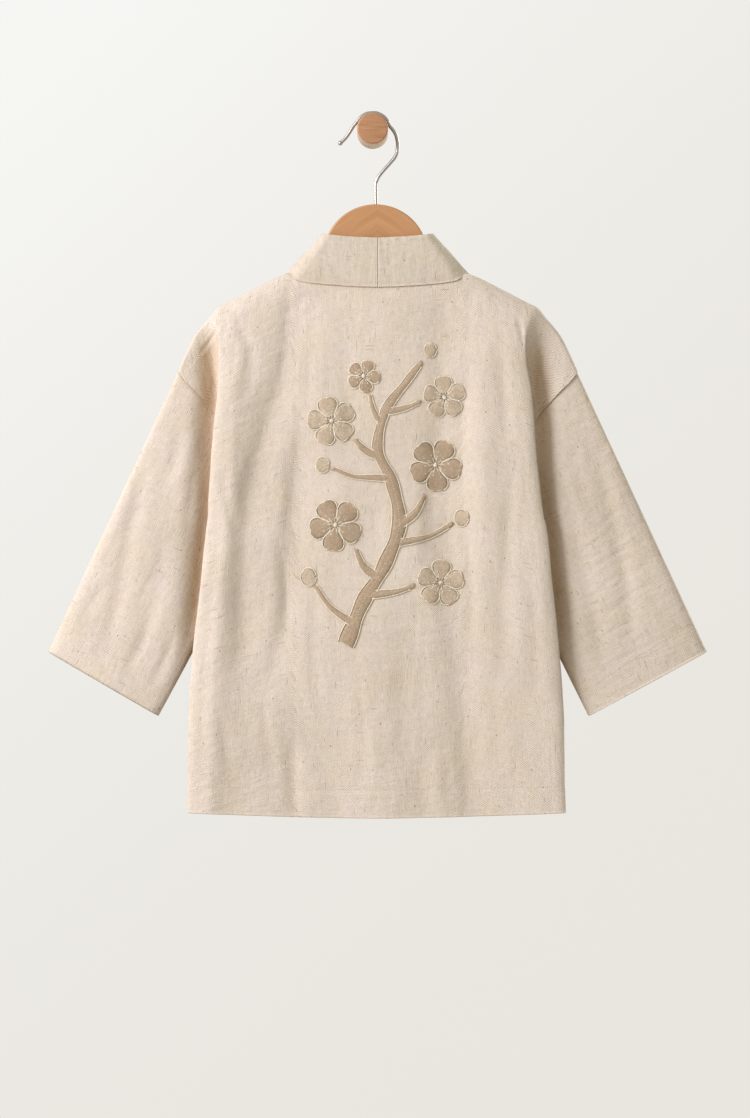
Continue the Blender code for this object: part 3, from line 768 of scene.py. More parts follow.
def hemmed_shell(name, grid, look, material, lift, flat, hem, closed=False, uv=None):
    """A creased cloth piece that is thicker where its hem is folded under."""
    folded = 1 / (1 + np.exp(np.clip((from_edge(flat) - hem) / 0.5, -30, 30)))
    outside = np.full(lift.shape, 0.5 * CLOTH)
    grid = lifted(grid, look, lift, closed)
    return shell(name, grid, outside, outside + folded, look, material, closed, uv)


def make_back(material):
    grid = grid_of([back_section(u) for u in rows_down(BACK_SPANS)])
    uv = cloth_uv(grid)
    across = uv[..., 0] / MM
    lift = crease_field(BACK_CREASES, *table_places(grid)) + crumple(uv, BACK_SEED, CRUMPLE)
    lift += hem_dent(uv, HEM_DEPTH, HEM_DENT)
    wave = np.sin(across / 7.0 + 2 * np.sin(across / 31.0))
    lift += HEM_WAVE * wave * bell(from_edge(uv), 0, HEM_WAVE_REACH)
    lift *= room_inside(uv, BACK_BORDER)
    look = (100, sum(BACK_STEPS), (0, -1, 0))
    return hemmed_shell("cloth_back", grid, look, material, lift, uv, HEM_DEPTH)


def make_front(side, name, material):
    grid = grid_of([front_section(u, side) for u in rows_down(FRONT_SPANS)])
    uv = cloth_uv(grid)
    lift = crease_field(FRONT_CREASES, *table_places(grid))
    lift += crumple(uv, FRONT_SEED + side, CRUMPLE)
    lift += hem_dent(uv, HEM_DEPTH, HEM_DENT)
    lift *= room_inside(uv, FRONT_BORDER)
    look = (90, 20, (0, 1, 0))
    return hemmed_shell(
        f"cloth_front_{name}", grid, look, material, lift, uv, HEM_DEPTH,
        uv=uv + FRONT_START + side)


def sleeve_uv(grid, side, ridge):
    """Flat places on a sleeve, along and across its own length, cut open at the underarm seam."""
    x, down = table_places(np.concatenate([grid, grid[:, :1]], axis=1))
    top = BACK_ROWS[0]
    run = np.array((CUFF_OUTER[0] - top.seam_x, CUFF_OUTER[1] - top.seam_down))
    run = run / np.linalg.norm(run)
    off_x, off_down = side * x - top.seam_x, down - top.seam_down
    along = off_x * run[0] + off_down * run[1]
    across = off_down * run[0] - off_x * run[1]
    across[:, :ridge] *= -1
    return np.stack([across, along], axis=2) * MM


def make_sleeve(side, name, material):
    lead = SLEEVE_LEAD[-1]
    steps = [*SLEEVE_LEAD] + [lead + (1 - lead) * (k / SLEEVE_ROWS) for k in range(1, SLEEVE_ROWS + 1)]
    grid = grid_of([sleeve_section(t, side, SLEEVE_HALF_STEPS) for t in steps])
    half = grid.shape[1] // 2
    grid = np.roll(grid, -half, axis=1)
    uv = sleeve_uv(grid, side, half)
    flat = uv[:, :-1]
    x, down = table_places(grid)
    behind = grid[..., 1] < MIDDLE_Y * MM
    lift = crease_field(SLEEVE_CREASES, x, down) * np.where(behind, 1.0, 0.7)
    ring = np.stack([x, down + 400 * ~behind], axis=2) * MM
    lift += crumple(ring, SLEEVE_SEED + side, SLEEVE_CRUMPLE)
    lift += hem_dent(flat, CUFF_HEM, CUFF_DENT)
    edge = np.minimum(np.abs(grid[..., 1] / MM - MIDDLE_Y) / 3.5, 1.0)
    lift *= room_inside(flat, SLEEVE_BORDER, sides=False) * edge ** 1.5
    look = (60, half + 20, (0, -1, 0))
    return hemmed_shell(
        f"cloth_sleeve_{name}", grid, look, material, lift, flat, CUFF_HEM, True,
        uv + SLEEVE_START + side)


def collar_middle(side):
    """The seam and the free edge of half the band, row by row, in table sizes."""
    centre = sum(BACK_STEPS)
    pairs = []
    for seam in back_section(0)[centre:centre + sum(BACK_STEPS[:2]) + 1]:
        pairs.append((seam, tuple(keyed(BAND_BACK, seam[0]))))
    for u in rows_down(COLLAR_SPANS)[1:]:
        seam = tuple(indexed(FRONT_EDGES, u))
        pairs.append((seam, tuple(keyed(BAND_FRONT, seam[2]))))
    pairs[0] = ((0.28, *pairs[0][0][1:]), (0.28, *pairs[0][1][1:]))
    pairs.insert(1, tuple(mix(a, b, 0.2) for a, b in zip(pairs[0], pairs[1])))
    return [((side * a[0], *a[1:]), (side * b[0], *b[1:])) for a, b in pairs]


def make_collar(side, name, material):
    """Half the band: one sheet folded round its free edge, its outer layer lapping the seam."""
    pairs = collar_middle(side)
    seam = np.array([point_of(*a) for a, b in pairs])
    free = np.array([point_of(*b) for a, b in pairs])
    width = unit(free - seam)
    length = np.linalg.norm(free - seam, axis=1, keepdims=True)
    normal = unit(np.cross(width, np.gradient(seam + free, axis=0)))
    if normal[0, 1] > 0:
        normal = -normal
    neck = np.array([point_of(NECK_X * side, BACK_ROWS[0].neck_y, BACK_ROWS[0].neck_down)])
    near = bell(np.linalg.norm(seam - neck, axis=1, keepdims=True), 0, NECK_REACH * MM)
    lap = (LAP + LAP_LESS * near) * MM
    back = (BACK_OFF + BACK_MORE * near) * MM
    half = BAND_HALF * MM
    end = length - half
    flat = np.concatenate([RIDGE_COLUMNS, np.linspace(0.075, 1, 14)])
    columns = [seam + width * (lap + (end - lap) * s) + normal * half for s in flat]
    for angle in np.radians(np.linspace(0, 180, 7))[1:-1]:
        columns.append(
            seam + width * (end + half * math.sin(angle)) + normal * (half * math.cos(angle)))
    columns += [seam + width * (back + (end - back) * s) - normal * half for s in flat[::-1]]
    grid = np.stack(columns, axis=1)
    uv = cloth_uv(grid)
    outer = np.arange(grid.shape[1]) < len(flat)
    lift = 0.5 * crease_field(COLLAR_CREASES, *table_places(grid)) * outer
    lift += crumple(uv, BAND_SEED + side, COLLAR_CRUMPLE) * 0.8
    from_lap = (uv[..., 0] - uv[:, :1, 0]) / MM
    rolled = sum(height * bell(from_lap, place, wide) for height, place, wide in (RIDGE, RIDGE_FOOT))
    lift = lift * room_inside(uv, BAND_BORDER, top=False) + rolled * (1 - 0.8 * near) * outer
    if side > 0:
        height, place, wide = BAND_SEAM
        lift += height * bell(uv[..., 1] / MM, place, wide) * outer
    look = (5, 5, (0, -1, 0))
    thick = np.full(lift.shape, 0.5 * BAND_CLOTH)
    return shell(
        f"cloth_collar_{name}", lifted(grid, look, lift), thick, thick, look, material,
        uv=uv + BAND_START + side)


def surface_of(obj):
    """A tree for casting rays at a mesh that is built in place."""
    points = [vert.co.copy() for vert in obj.data.vertices]
    faces = [tuple(face.vertices) for face in obj.data.polygons]
    return BVHTree.FromPolygons(points, faces)


class Threads:
    """Collects thin round threads in one mesh."""

    def __init__(self, sides=6):
        self.sides = sides
        self.points = []
        self.faces = []

    def add(self, path, radius, taper=0.55):
        """One thread along a path of points, thinner at both ends."""
        count = len(path)
        start = len(self.points)
        for i, point in enumerate(path):
            ahead = (path[min(i + 1, count - 1)] - path[max(i - 1, 0)]).normalized()
            side = ahead.cross(Vector((0, -1, 0)))
            side = side.normalized() if side.length > 1e-6 else Vector((1, 0, 0))
            up = side.cross(ahead).normalized()
            size = radius * (taper if i in (0, count - 1) else 1.0)
            for angle in turns(self.sides):
                self.points.append(point + side * (size * math.cos(angle)) + up * (size * math.sin(angle)))
        for i in range(count - 1):
            for k in range(self.sides):
                a = start + i * self.sides + k
                b = start + i * self.sides + (k + 1) % self.sides
                self.faces.append((a, b, b + self.sides, a + self.sides))
        self.faces.append(tuple(start + k for k in range(self.sides))[::-1])
        last = start + (count - 1) * self.sides
        self.faces.append(tuple(last + k for k in range(self.sides)))

    def build(self, name, material):
        mesh = bpy.data.meshes.new(name)
        mesh.from_pydata(self.points, [], self.faces)
        mesh.update()
        bm = bmesh.new()
        bm.from_mesh(mesh)
        bmesh.ops.recalc_face_normals(bm, faces=bm.faces)
        bm.to_mesh(mesh)
        bm.free()
        mesh.shade_smooth()
        mesh.materials.append(material)
        return add_object(name, mesh)


def on_cloth(tree, x, down, raised):
    """A point so far off the back's outer face, at a place of the table, or None off the cloth."""
    start = Vector(point_of(x, -120, down))
    hit, normal, face, distance = tree.ray_cast(start, Vector((0, 1, 0)))
    if hit is None:
        return None
    return hit + Vector((0, -raised * MM, 0))


def lay(threads, tree, a, b, radius, heights):
    """A thread on the cloth from a to b, at these heights along it, or none off the cloth."""
    path = [
        on_cloth(tree, *mix(a, b, k / (len(heights) - 1)), height) for k, height in enumerate(heights)]
    if None not in path:
        threads.add(path, radius * MM)


def stitch(threads, tree, a, b, radius, height=0.3, points=5):
    """A short straight stitch on the cloth, dipping in at both ends."""
    arch = [height * math.sin(math.pi * (k / (points - 1))) ** 0.6 for k in range(1, points - 1)]
    lay(threads, tree, a, b, radius, [-0.2, *arch, -0.2])


def satin(threads, tree, a, b, raised):
    """One satin thread across a shape, padded up in its middle."""
    length = math.dist(a, b)
    if length < 0.8:
        return
    count = max(5, min(9, int(length / 1.6) + 4))
    places = [k / (count - 1) for k in range(count)]
    arch = [(4 * t * (1 - t)) ** 0.5 for t in places]
    lay(threads, tree, a, b, SATIN_RADIUS, [raised * high - 0.25 * (1 - high) for high in arch])


def fill(threads, tree, outline, angle, raised, wobble, pitch=SATIN_PITCH):
    """Satin threads across a closed outline, all at one angle."""
    ca, sa = math.cos(angle), math.sin(angle)
    turned = [(x * ca + y * sa, -x * sa + y * ca) for x, y in outline]
    low = min(v for u, v in turned)
    high = max(v for u, v in turned)
    rows = int((high - low) / pitch)
    for k in range(rows):
        v = low + pitch * (k + 0.5)
        cuts = []
        for (u0, v0), (u1, v1) in zip(turned, turned[1:] + turned[:1]):
            if (v0 - v) * (v1 - v) < 0:
                cuts.append(u0 + (u1 - u0) * (v - v0) / (v1 - v0))
        cuts.sort()
        for u0, u1 in zip(cuts[::2], cuts[1::2]):
            u0 += wobble.uniform(-0.25, 0.25)
            u1 += wobble.uniform(-0.25, 0.25)
            drift = wobble.uniform(-0.08, 0.08)
            a = (u0 * ca - (v + drift) * sa, u0 * sa + (v + drift) * ca)
            b = (u1 * ca - (v - drift) * sa, u1 * sa + (v - drift) * ca)
            satin(threads, tree, a, b, raised)


def smooth_path(knots, step):
    """A smooth curve through knots of (x, down, size), in even steps."""
    fine = spread(knots, [24] * (len(knots) - 1))
    out = [fine[0]]
    left = step
    for a, b in zip(fine, fine[1:]):
        gap = math.dist(a[:2], b[:2])
        at = 0.0
        while gap - at >= left:
            at += left
            out.append(list(mix(a, b, at / gap)))
            left = step
        left -= gap - at
    return out


def outline_stitches(threads, tree, line):
    """Stem stitch along a line of points: each stitch starts half way along the last."""
    path = smooth_path([(x, y, 0) for x, y in line], STEM_RUN / 2)
    aside = 0.14
    for a, b in zip(path, path[2:]):
        dx, dy = b[0] - a[0], b[1] - a[1]
        size = math.hypot(dx, dy)
        off_x, off_down = -dy / size * aside, dx / size * aside
        start, end = (a[0] - off_x, a[1] - off_down), (b[0] + off_x, b[1] + off_down)
        stitch(threads, tree, start, end, STEM_RADIUS, STEM_RAISED, 4)


def bead_stitches(threads, tree, line, pitch, raised):
    """A row of small separate stitches along a line of points."""
    path = smooth_path([(x, y, 0) for x, y in line], pitch)
    for a, b in zip(path, path[1:]):
        end = mix(a[:2], b[:2], BEAD_LENGTH / pitch)
        stitch(threads, tree, a[:2], end, BEAD_RADIUS, raised, 4)


def branch(fills, edges, tree, knots, wobble):
    """A tapering branch: satin threads slanted across it and a line of stitches down each side."""
    path = smooth_path(knots, SATIN_PITCH)
    left, right = [], []
    for i, (x, down, size) in enumerate(path):
        before, after = path[max(i - 1, 0)], path[min(i + 1, len(path) - 1)]
        dx, dy = after[0] - before[0], after[1] - before[1]
        length = math.hypot(dx, dy)
        half = 0.5 * size * (1 + 0.10 * math.sin(i * 0.11) + 0.07 * math.sin(i * 0.031 + 2))
        left.append((x - dy / length * half, down + dx / length * half))
        right.append((x + dy / length * half, down - dx / length * half))
    lean = 4
    for a, b in zip(left, right[lean:]):
        shift = wobble.uniform(-0.12, 0.12)
        satin(fills, tree, (a[0] + shift, a[1]), (b[0] + shift, b[1]), BRANCH_RAISED)
    outline_stitches(edges, tree, left[::6])
    outline_stitches(edges, tree, right[::6])
    if knots[0][2] > 9:
        bead_stitches(edges, tree, [point[:2] for point in path[8:-8:12]], 2.9, 1.5)


def petal_outline(centre, angle, length, breadth):
    """A plum petal: narrow at the flower's heart, broad and slightly notched outside."""
    ahead = (math.cos(angle), math.sin(angle))
    points = []
    for t in turns(36):
        out = 0.5 - 0.5 * math.cos(t)
        notch = 0.07 * math.exp(-((t - math.pi) / 0.32) ** 2)
        reach = length * (out - notch)
        side = breadth * 0.5 * math.sin(t) * (0.55 + 0.45 * out)
        points.append((
            centre[0] + reach * ahead[0] - side * ahead[1], centre[1] + reach * ahead[1] + side * ahead[0]))
    return points


def blossom(fills, marks, edges, tree, centre, radius, turn, wobble):
    """Five satin petals with stitched outlines, a heart and short stamens."""
    for angle in turns(5):
        angle += turn
        outline = petal_outline(polar(centre, 0.17 * radius, angle), angle, 0.83 * radius, 1.02 * radius)
        fill(fills, tree, outline, angle + math.pi / 2, PETAL_RAISED, wobble)
        outline_stitches(edges, tree, outline + outline[:1])
        for spoke in (-1, 0, 1):
            aim = angle + 0.22 * spoke
            tip = (0.66 if spoke else 0.76) * radius
            line = [polar(centre, 0.40 * radius, aim), polar(centre, tip, aim)]
            bead_stitches(marks, tree, line, 2.6, 1.65)
    for k in range(10):
        angle = turn + 2 * math.pi * (k + 0.5) / 10
        tip = polar(centre, radius * (0.46 if k % 2 else 0.36), angle)
        stitch(edges, tree, polar(centre, 1.6, angle), tip, BEAD_RADIUS, HEART_RAISED, 6)
        stitch(edges, tree, tip, polar(tip, 1.3, angle), 0.62, 1.6, 4)
    heart = [polar(centre, 2.4, angle) for angle in turns(14)]
    fill(edges, tree, heart, turn, HEART_RAISED, wobble, 0.7)


def bud(light, edges, tree, centre, radius, angle, wobble):
    outline = [
        (centre[0] + radius * math.cos(t), centre[1] + 1.2 * radius * math.sin(t)) for t in turns(20)]
    fill(light, tree, outline, angle, BUD_RAISED, wobble)
    outline_stitches(edges, tree, outline + outline[:1])


def make_embroidery(tree, tan, pale, cream):
    """A plum branch in blossom, in satin stitch with stem-stitched outlines."""
    wobble = random.Random(EMBROIDERY_SEED)
    fills, light, edges = Threads(5), Threads(5), Threads(5)
    for knots in BRANCHES:
        branch(fills, edges, tree, knots, wobble)
    for x, down, radius, turn, is_pale in BLOSSOMS:
        petals, marks = (light, fills) if is_pale else (fills, light)
        blossom(petals, marks, edges, tree, (x, down), radius, math.radians(turn), wobble)
    for x, down, radius, turn in BUDS:
        bud(light, edges, tree, (x, down), radius, math.radians(turn), wobble)
    return [
        fills.build("embroidery_tan", tan), light.build("embroidery_pale", pale),
        edges.build("embroidery_outline", cream)]


def make_stitches(piece, material, row=None, col=None, pitch=2.8, length=1.9, radius=0.2):
    """Small stitches along one row or column of a cloth piece's outer layer."""
    rows, cols, closed = SHAPES[piece.name]
    index = np.arange(rows * cols).reshape(rows, cols)
    chosen = index[row] if row is not None else index[:, col]
    if closed:
        chosen = np.concatenate([chosen, chosen[:1]])
    verts = [piece.data.vertices[int(i)] for i in chosen]
    spots = np.array([(*vert.co, *vert.normal) for vert in verts])
    gaps = np.linalg.norm(np.diff(spots[:, :3], axis=0), axis=1)
    distance = np.concatenate([[0], np.cumsum(gaps)])
    threads = Threads(5)
    at = 0.5 * pitch * MM
    while at + length * MM < distance[-1]:
        path = []
        for t in (0.0, 0.3, 0.7, 1.0):
            where = at + t * length * MM
            spot = [np.interp(where, distance, column) for column in spots.T]
            high = 0.12 if 0 < t < 1 else -0.1
            path.append(Vector(spot[:3]) + Vector(spot[3:]) * (high * MM))
        threads.add(path, radius * MM, 0.7)
        at += pitch * MM
    return threads.build(piece.name.replace("cloth", "stitches"), material)


def wood_outline():
    """The hanger's whole outline, finely and smoothly drawn, as x and height."""
    hub_centre = HUB_TOP_Z - HUB_RADIUS
    half = []
    for k in range(33):
        angle = math.radians(HUB_TURN * k / 32)
        half.append((HUB_RADIUS * math.sin(angle), hub_centre + HUB_RADIUS * math.cos(angle)))
    knots = [half[-1], (51, -117), (56, -129), (65, -141), (77, -149.5), (92, -154)]
    knots += [(125, -170.5), (148, -182.5), (154, -187.5), (156.5, -193), (155, -199), (150, -202)]
    knots += [(130, -195.5), (90, -178.5), (60, -166), (30, -158.5), (0, -156)]
    half += [tuple(point) for point in spread(knots, [5] * (len(knots) - 1))[1:]]
    outline = half + [(-x, z) for x, z in half[-2:0:-1]]
    return [(x + HUB_SHIFT * smoothstep((z + 150) / 32), z) for x, z in outline]


def poly_curve(name, points, closed=False, **settings):
    """A curve with straight steps through these points."""
    curve = bpy.data.curves.new(name, "CURVE")
    for key, value in settings.items():
        setattr(curve, key, value)
    spline = curve.splines.new("POLY")
    spline.points.add(len(points) - 1)
    for point, place in zip(spline.points, points):
        point.co = (*place, 1.0)
    spline.use_cyclic_u = closed
    return curve


def make_hanger_body(material):
    outline = [((AXIS_X + x) * MM, z * MM, 0.0) for x, z in wood_outline()]
    curve = poly_curve(
        "hanger_body", outline, True, dimensions="2D", fill_mode="BOTH", bevel_depth=HANGER_ROUND * MM,
        bevel_resolution=5, offset=-HANGER_ROUND * MM, extrude=(0.5 * HANGER_THICK - HANGER_ROUND) * MM)
    drawn = add_object("hanger_outline", curve)
    bpy.context.view_layer.update()
    mesh = bpy.data.meshes.new_from_object(drawn.evaluated_get(bpy.context.evaluated_depsgraph_get()))
    bpy.data.objects.remove(drawn)
    turn = Matrix.Translation((0.0, HANGER_Y * MM, 0.0)) @ Matrix.Rotation(math.pi / 2, 4, "X")
    mesh.transform(turn)
    mesh.name = "hanger_body"
    mesh.materials.clear()
    mesh.materials.append(material)
    mesh.shade_smooth()
    body = add_object("hanger_wood", mesh)
    edges = body.modifiers.new("flat faces", "WEIGHTED_NORMAL")
    edges.keep_sharp = True
    return body


def hook_line():
    """The wire's centre line: stem, an arc just clear of the peg, and the tail."""
    rest_radius = PEG_RADIUS + WIRE_RADIUS + SEAM_GAP
    arc = [polar((0, 0), rest_radius, math.radians(HOOK_FROM + HOOK_TURN * k / 6)) for k in range(7)]
    knots = list(HOOK_STEM) + [(21.6, -1.4)] + arc + list(HOOK_TAIL)
    return spread(knots, [6] + [7] * (len(knots) - 2))


def make_hook(material):
    """The bent wire and the ball at its tip."""
    line = [(x * MM, HANGER_Y * MM, z * MM) for x, z in hook_line()]
    curve = poly_curve(
        "hanger_hook", line, dimensions="3D", bevel_depth=WIRE_RADIUS * MM, bevel_resolution=7,
        use_fill_caps=True)
    curve.materials.append(material)
    hook = add_object("hook_wire", curve)
    bpy.ops.mesh.primitive_uv_sphere_add(
        segments=32, ring_count=20, radius=BALL_RADIUS * MM, location=line[-1])
    tip = bpy.context.object
    tip.name = "hook_tip"
    tip.data.materials.append(material)
    tip.data.shade_smooth()
    return hook, tip


def make_peg(material):
    """A turned peg with a softly rounded front edge, standing out of the wall."""
    centre = (PEG_RADIUS - PEG_ROUND, PEG_ROUND - PEG_LENGTH)
    profile = [(0.0, -PEG_LENGTH)]
    profile += [polar(centre, PEG_ROUND, math.radians(90 * k / 8 - 90)) for k in range(9)]
    profile += [(PEG_RADIUS, -0.2), (PEG_RADIUS - 0.2, 0.0), (0.0, 0.0)]
    mesh = bpy.data.meshes.new("wall_peg")
    bm = bmesh.new()
    verts = [bm.verts.new((r * MM, y * MM, 0.0)) for r, y in profile]
    edges = [bm.edges.new(pair) for pair in zip(verts, verts[1:])]
    bmesh.ops.spin(
        bm, geom=verts + edges, cent=(0, 0, 0), axis=(0, 1, 0), angle=2 * math.pi, steps=96)
    bmesh.ops.remove_doubles(bm, verts=bm.verts, dist=1e-6)
    bmesh.ops.recalc_face_normals(bm, faces=bm.faces)
    bm.to_mesh(mesh)
    bm.free()
    mesh.shade_smooth()
    mesh.materials.append(material)
    return add_object("peg_wood", mesh)


def linear(*colour):
    """A colour given in the 0 to 255 values of a screen, as lights and the world want it."""
    out = []
    for value in colour:
        c = value / 255
        out.append(c / 12.92 if c <= 0.04045 else ((c + 0.055) / 1.055) ** 2.4)
    return (*out, 1.0)


def surface(*colour):
    """The paint of a surface that shows this screen colour in the scene's light."""
    return (*[c / LIGHT for c in linear(*colour)[:3]], 1.0)


class Graph:
    """Adds and joins the nodes of one material or world."""

    def __init__(self, owner):
        self.owner = owner
        owner.use_nodes = True
        self.tree = owner.node_tree

    def set(self, sockets, values):
        for key, value in dict(values).items():
            if isinstance(value, bpy.types.NodeSocket):
                self.tree.links.new(value, sockets[key])
            else:
                sockets[key].default_value = value

    def node(self, kind, inputs=(), **options):
        made = self.tree.nodes.new(kind)
        for key, value in options.items():
            setattr(made, key, value)
        self.set(made.inputs, inputs)
        return made

    def finish(self, inputs, shader="Principled BSDF"):
        """Fill in the shader's own sockets, and hand back the finished material or world."""
        self.set(self.tree.nodes[shader].inputs, inputs)
        return self.owner

    def math(self, operation, a, b=0.0):
        return self.node("ShaderNodeMath", {0: a, 1: b}, operation=operation).outputs[0]

    def times(self, a, b):
        return self.math("MULTIPLY", a, b)

    def plus(self, a, b):
        return self.math("ADD", a, b)

    def ramp(self, value, low, high, start=0.0, end=1.0):
        made = self.node("ShaderNodeMapRange", {
            "Value": value, "From Min": low, "From Max": high, "To Min": start, "To Max": end},
            interpolation_type="SMOOTHSTEP")
        return made.outputs["Result"]

    def blend(self, a, b, share, mode="MIX"):
        made = self.node("ShaderNodeMix", data_type="RGBA", blend_type=mode)
        self.set(made.inputs, {0: share, 6: a, 7: b})
        return made.outputs[2]

    def stained(self, colour, stains):
        """Blend further colours in, each where a value runs from low to high."""
        for stain, value, low, high, strength in stains:
            colour = self.blend(colour, stain, self.times(self.ramp(value, low, high), strength))
        return colour

    def tinted(self, colour, red, green, blue):
        tint = self.node("ShaderNodeCombineColor", {"Red": red, "Green": green, "Blue": blue})
        return self.blend(colour, tint.outputs[0], 1.0, "MULTIPLY")

    def scaled(self, vector, scale, turn=0.0, shift=0.0):
        made = self.node("ShaderNodeMapping", {
            "Vector": vector, "Scale": scale, "Rotation": (0, 0, turn), "Location": (shift, shift, 0)})
        return made.outputs["Vector"]

    def noise(self, vector, scale, detail=2.0, rough=0.5):
        made = self.node("ShaderNodeTexNoise", {
            "Vector": vector, "Scale": scale, "Detail": detail, "Roughness": rough})
        return made.outputs["Fac"]

    def streaks(self, vector, scale, detail=2.0, rough=0.5, turn=0.0, shift=0.0):
        """Noise drawn out by a scale of its own on each axis."""
        return self.noise(self.scaled(vector, scale, turn, shift), 1.0, detail, rough)

    def bump(self, height, strength, distance, **under):
        made = self.node("ShaderNodeBump", {
            "Height": height, "Strength": strength, "Distance": distance, **under})
        return made.outputs["Normal"]


def material_graph(name):
    return Graph(bpy.data.materials.new(name))


def linen_material(name, base, shift=0.0, weave=1.0):
    """Slubby oatmeal linen: uneven threads both ways, short dark fibres, a soft twill grain, and painted
    warm shade where ambient occlusion finds folds and crevices.
    """
    g = material_graph(name)
    flat = g.node("ShaderNodeUVMap", uv_map="cloth").outputs["UV"]
    split = g.node("ShaderNodeSeparateXYZ", {"Vector": flat})
    u, v = split.outputs["X"], split.outputs["Y"]
    weft = g.streaks(flat, (1 / 0.010, 1 / 0.0008, 1), 2.0, 0.6, 0.0, shift)
    warp = g.streaks(flat, (1 / 0.0008, 1 / 0.012, 1), 2.0, 0.6, 0.0, shift + 5)
    patches = g.streaks(flat, (150.0, 120.0, 1), 3.0, 0.65, 0.0, shift)
    blotch = g.streaks(flat, (13.0, 9.0, 1), 3.0, 0.6, 0.0, shift + 9)
    mottle = g.streaks(flat, (1 / 0.0042, 1 / 0.0055, 1), 2.0, 0.6, 0.0, shift + 2)
    golden = g.streaks(flat, (30.0, 24.0, 1), 4.0, 0.65, 0.0, shift + 21)
    wobble = g.times(g.noise(flat, 230.0, 1.0), 4.0)
    grain = 0.0
    for operation, low, high in (("ADD", 0.40, 0.60), ("SUBTRACT", 0.54, 0.34)):
        slant = g.times(g.math(operation, u, v), 2 * math.pi / TWILL_PITCH)
        rib = g.math("SINE", g.plus(slant, wobble))
        grain = g.plus(g.times(rib, g.ramp(patches, low, high)), grain)
    slubs = g.math("MAXIMUM", g.ramp(weft, 0.58, 0.74), g.ramp(warp, 0.59, 0.76))
    pale = g.math("MAXIMUM", g.ramp(weft, 0.42, 0.28), g.ramp(warp, 0.41, 0.26))
    dark = (*[c * k for c, k in zip(base, (0.74, 0.70, 0.64))], 1.0)
    light = (*[min(c * k, 1.0) for c, k in zip(base, (1.11, 1.12, 1.13))], 1.0)
    colour = g.blend(base, dark, g.times(slubs, 0.36))
    colour = g.blend(colour, light, g.times(pale, 0.45))
    colour = g.stained(colour, (
        (dark, mottle, 0.52, 0.76, 0.55), (light, mottle, 0.48, 0.27, 0.6),
        (dark, grain, 0.0, 0.9, 0.85 * weave), (light, grain, 0.0, -0.9, 0.95 * weave)))
    red, green, blue = [
        g.ramp(blotch, 0.3, 0.72, low, high) for low, high in ((0.95, 1.04), (0.945, 1.045), (0.925, 1.05))]
    colour = g.tinted(colour, red, green, g.times(blue, g.ramp(golden, 0.28, 0.72, 0.955, 1.025)))
    # Painted shade: the colour is multiplied darker and warmer where ambient occlusion finds folds and
    # crevices
    painted_shade_ao = g.node("ShaderNodeAmbientOcclusion", {"Distance": 0.035}, samples=6).outputs["AO"]
    colour = g.blend(colour, (1.0, 0.82, 0.62, 1.0), g.ramp(painted_shade_ao, 0.95, 0.30), "MULTIPLY")
    creased = 0.0
    for number, (long, wide, turn, size, keep, strength) in enumerate(FIBRES):
        place = g.scaled(flat, (1 / wide, 1 / long, 1), turn, shift + 3 * number)
        spots = g.node("ShaderNodeTexVoronoi", {"Vector": place, "Scale": 1.0}, voronoi_dimensions="2D")
        chance = g.node("ShaderNodeSeparateColor", {"Color": spots.outputs["Color"]}).outputs[0]
        fleck = g.ramp(spots.outputs["Distance"], size, 0.35 * size)
        fleck = g.times(fleck, g.ramp(chance, keep, 1.0))
        colour = g.blend(colour, surface(120, 92, 66), g.times(fleck, strength))
        if number > 1:
            creased = g.plus(fleck, creased)
    height = g.times(g.plus(warp, weft), 0.7 * weave)
    height = g.plus(height, g.times(grain, 0.12 * weave))
    height = g.plus(height, g.times(mottle, 0.35))
    level = g.streaks(flat, (1 / 0.030, 1 / 0.0085, 1), 2.0, 0.55, 0.25, shift + 3)
    upright = g.streaks(flat, (1 / 0.0105, 1 / 0.036, 1), 2.0, 0.55, -0.12, shift + 8)
    soft = g.plus(g.times(level, 0.9), g.times(upright, 0.75))
    soft = g.math("SUBTRACT", soft, g.times(creased, 0.22))
    return g.finish({
        "Base Color": colour, "Roughness": 0.9, "Sheen Weight": 0.08, "Sheen Roughness": 0.5,
        "Specular IOR Level": 0.2,
        "Normal": g.bump(height, 0.9, 0.0006, Normal=g.bump(soft, 1.0, 0.0010))})


def thread_material(name, colour, sheen=0.2):
    g = material_graph(name)
    place = g.node("ShaderNodeTexCoord").outputs["Object"]
    tone = g.ramp(g.noise(place, 420.0, 2.0), 0.3, 0.7, 0.86, 1.1)
    return g.finish({
        "Base Color": g.tinted(colour, tone, tone, tone), "Roughness": 0.55, "Sheen Weight": sheen})


def hanger_material():
    """Varnished wood in two matched halves: long grain that rises towards the middle."""
    g = material_graph("hanger_wood")
    pale, mid, dark = surface(204, 152, 99), surface(192, 138, 86), surface(170, 116, 67)
    place = g.node("ShaderNodeTexCoord").outputs["Object"]
    split = g.node("ShaderNodeSeparateXYZ", {"Vector": place})
    x = g.math("ABSOLUTE", g.math("SUBTRACT", split.outputs["X"], AXIS_X * MM))
    joined = g.node("ShaderNodeCombineXYZ", {"X": x, "Y": split.outputs["Z"], "Z": split.outputs["Y"]})
    turned = g.scaled(joined.outputs[0], (1, 1, 1), 0.62)
    bands = g.streaks(turned, (7.0, 150.0, 60.0), 4.0, 0.62)
    pores = g.streaks(turned, (55.0, 1500.0, 900.0), 2.0, 0.6)
    soft = g.streaks(turned, (5.0, 32.0, 20.0))
    colour = g.stained(mid, (
        (dark, bands, 0.49, 0.70, 1.0), (pale, bands, 0.48, 0.28, 0.8), (dark, soft, 0.45, 0.75, 0.35),
        (dark, pores, 0.56, 0.74, 0.65)))
    return g.finish({
        "Base Color": colour, "Roughness": 0.42, "Coat Weight": 0.15, "Coat Roughness": 0.3,
        "Normal": g.bump(pores, 0.15, 0.0003)})


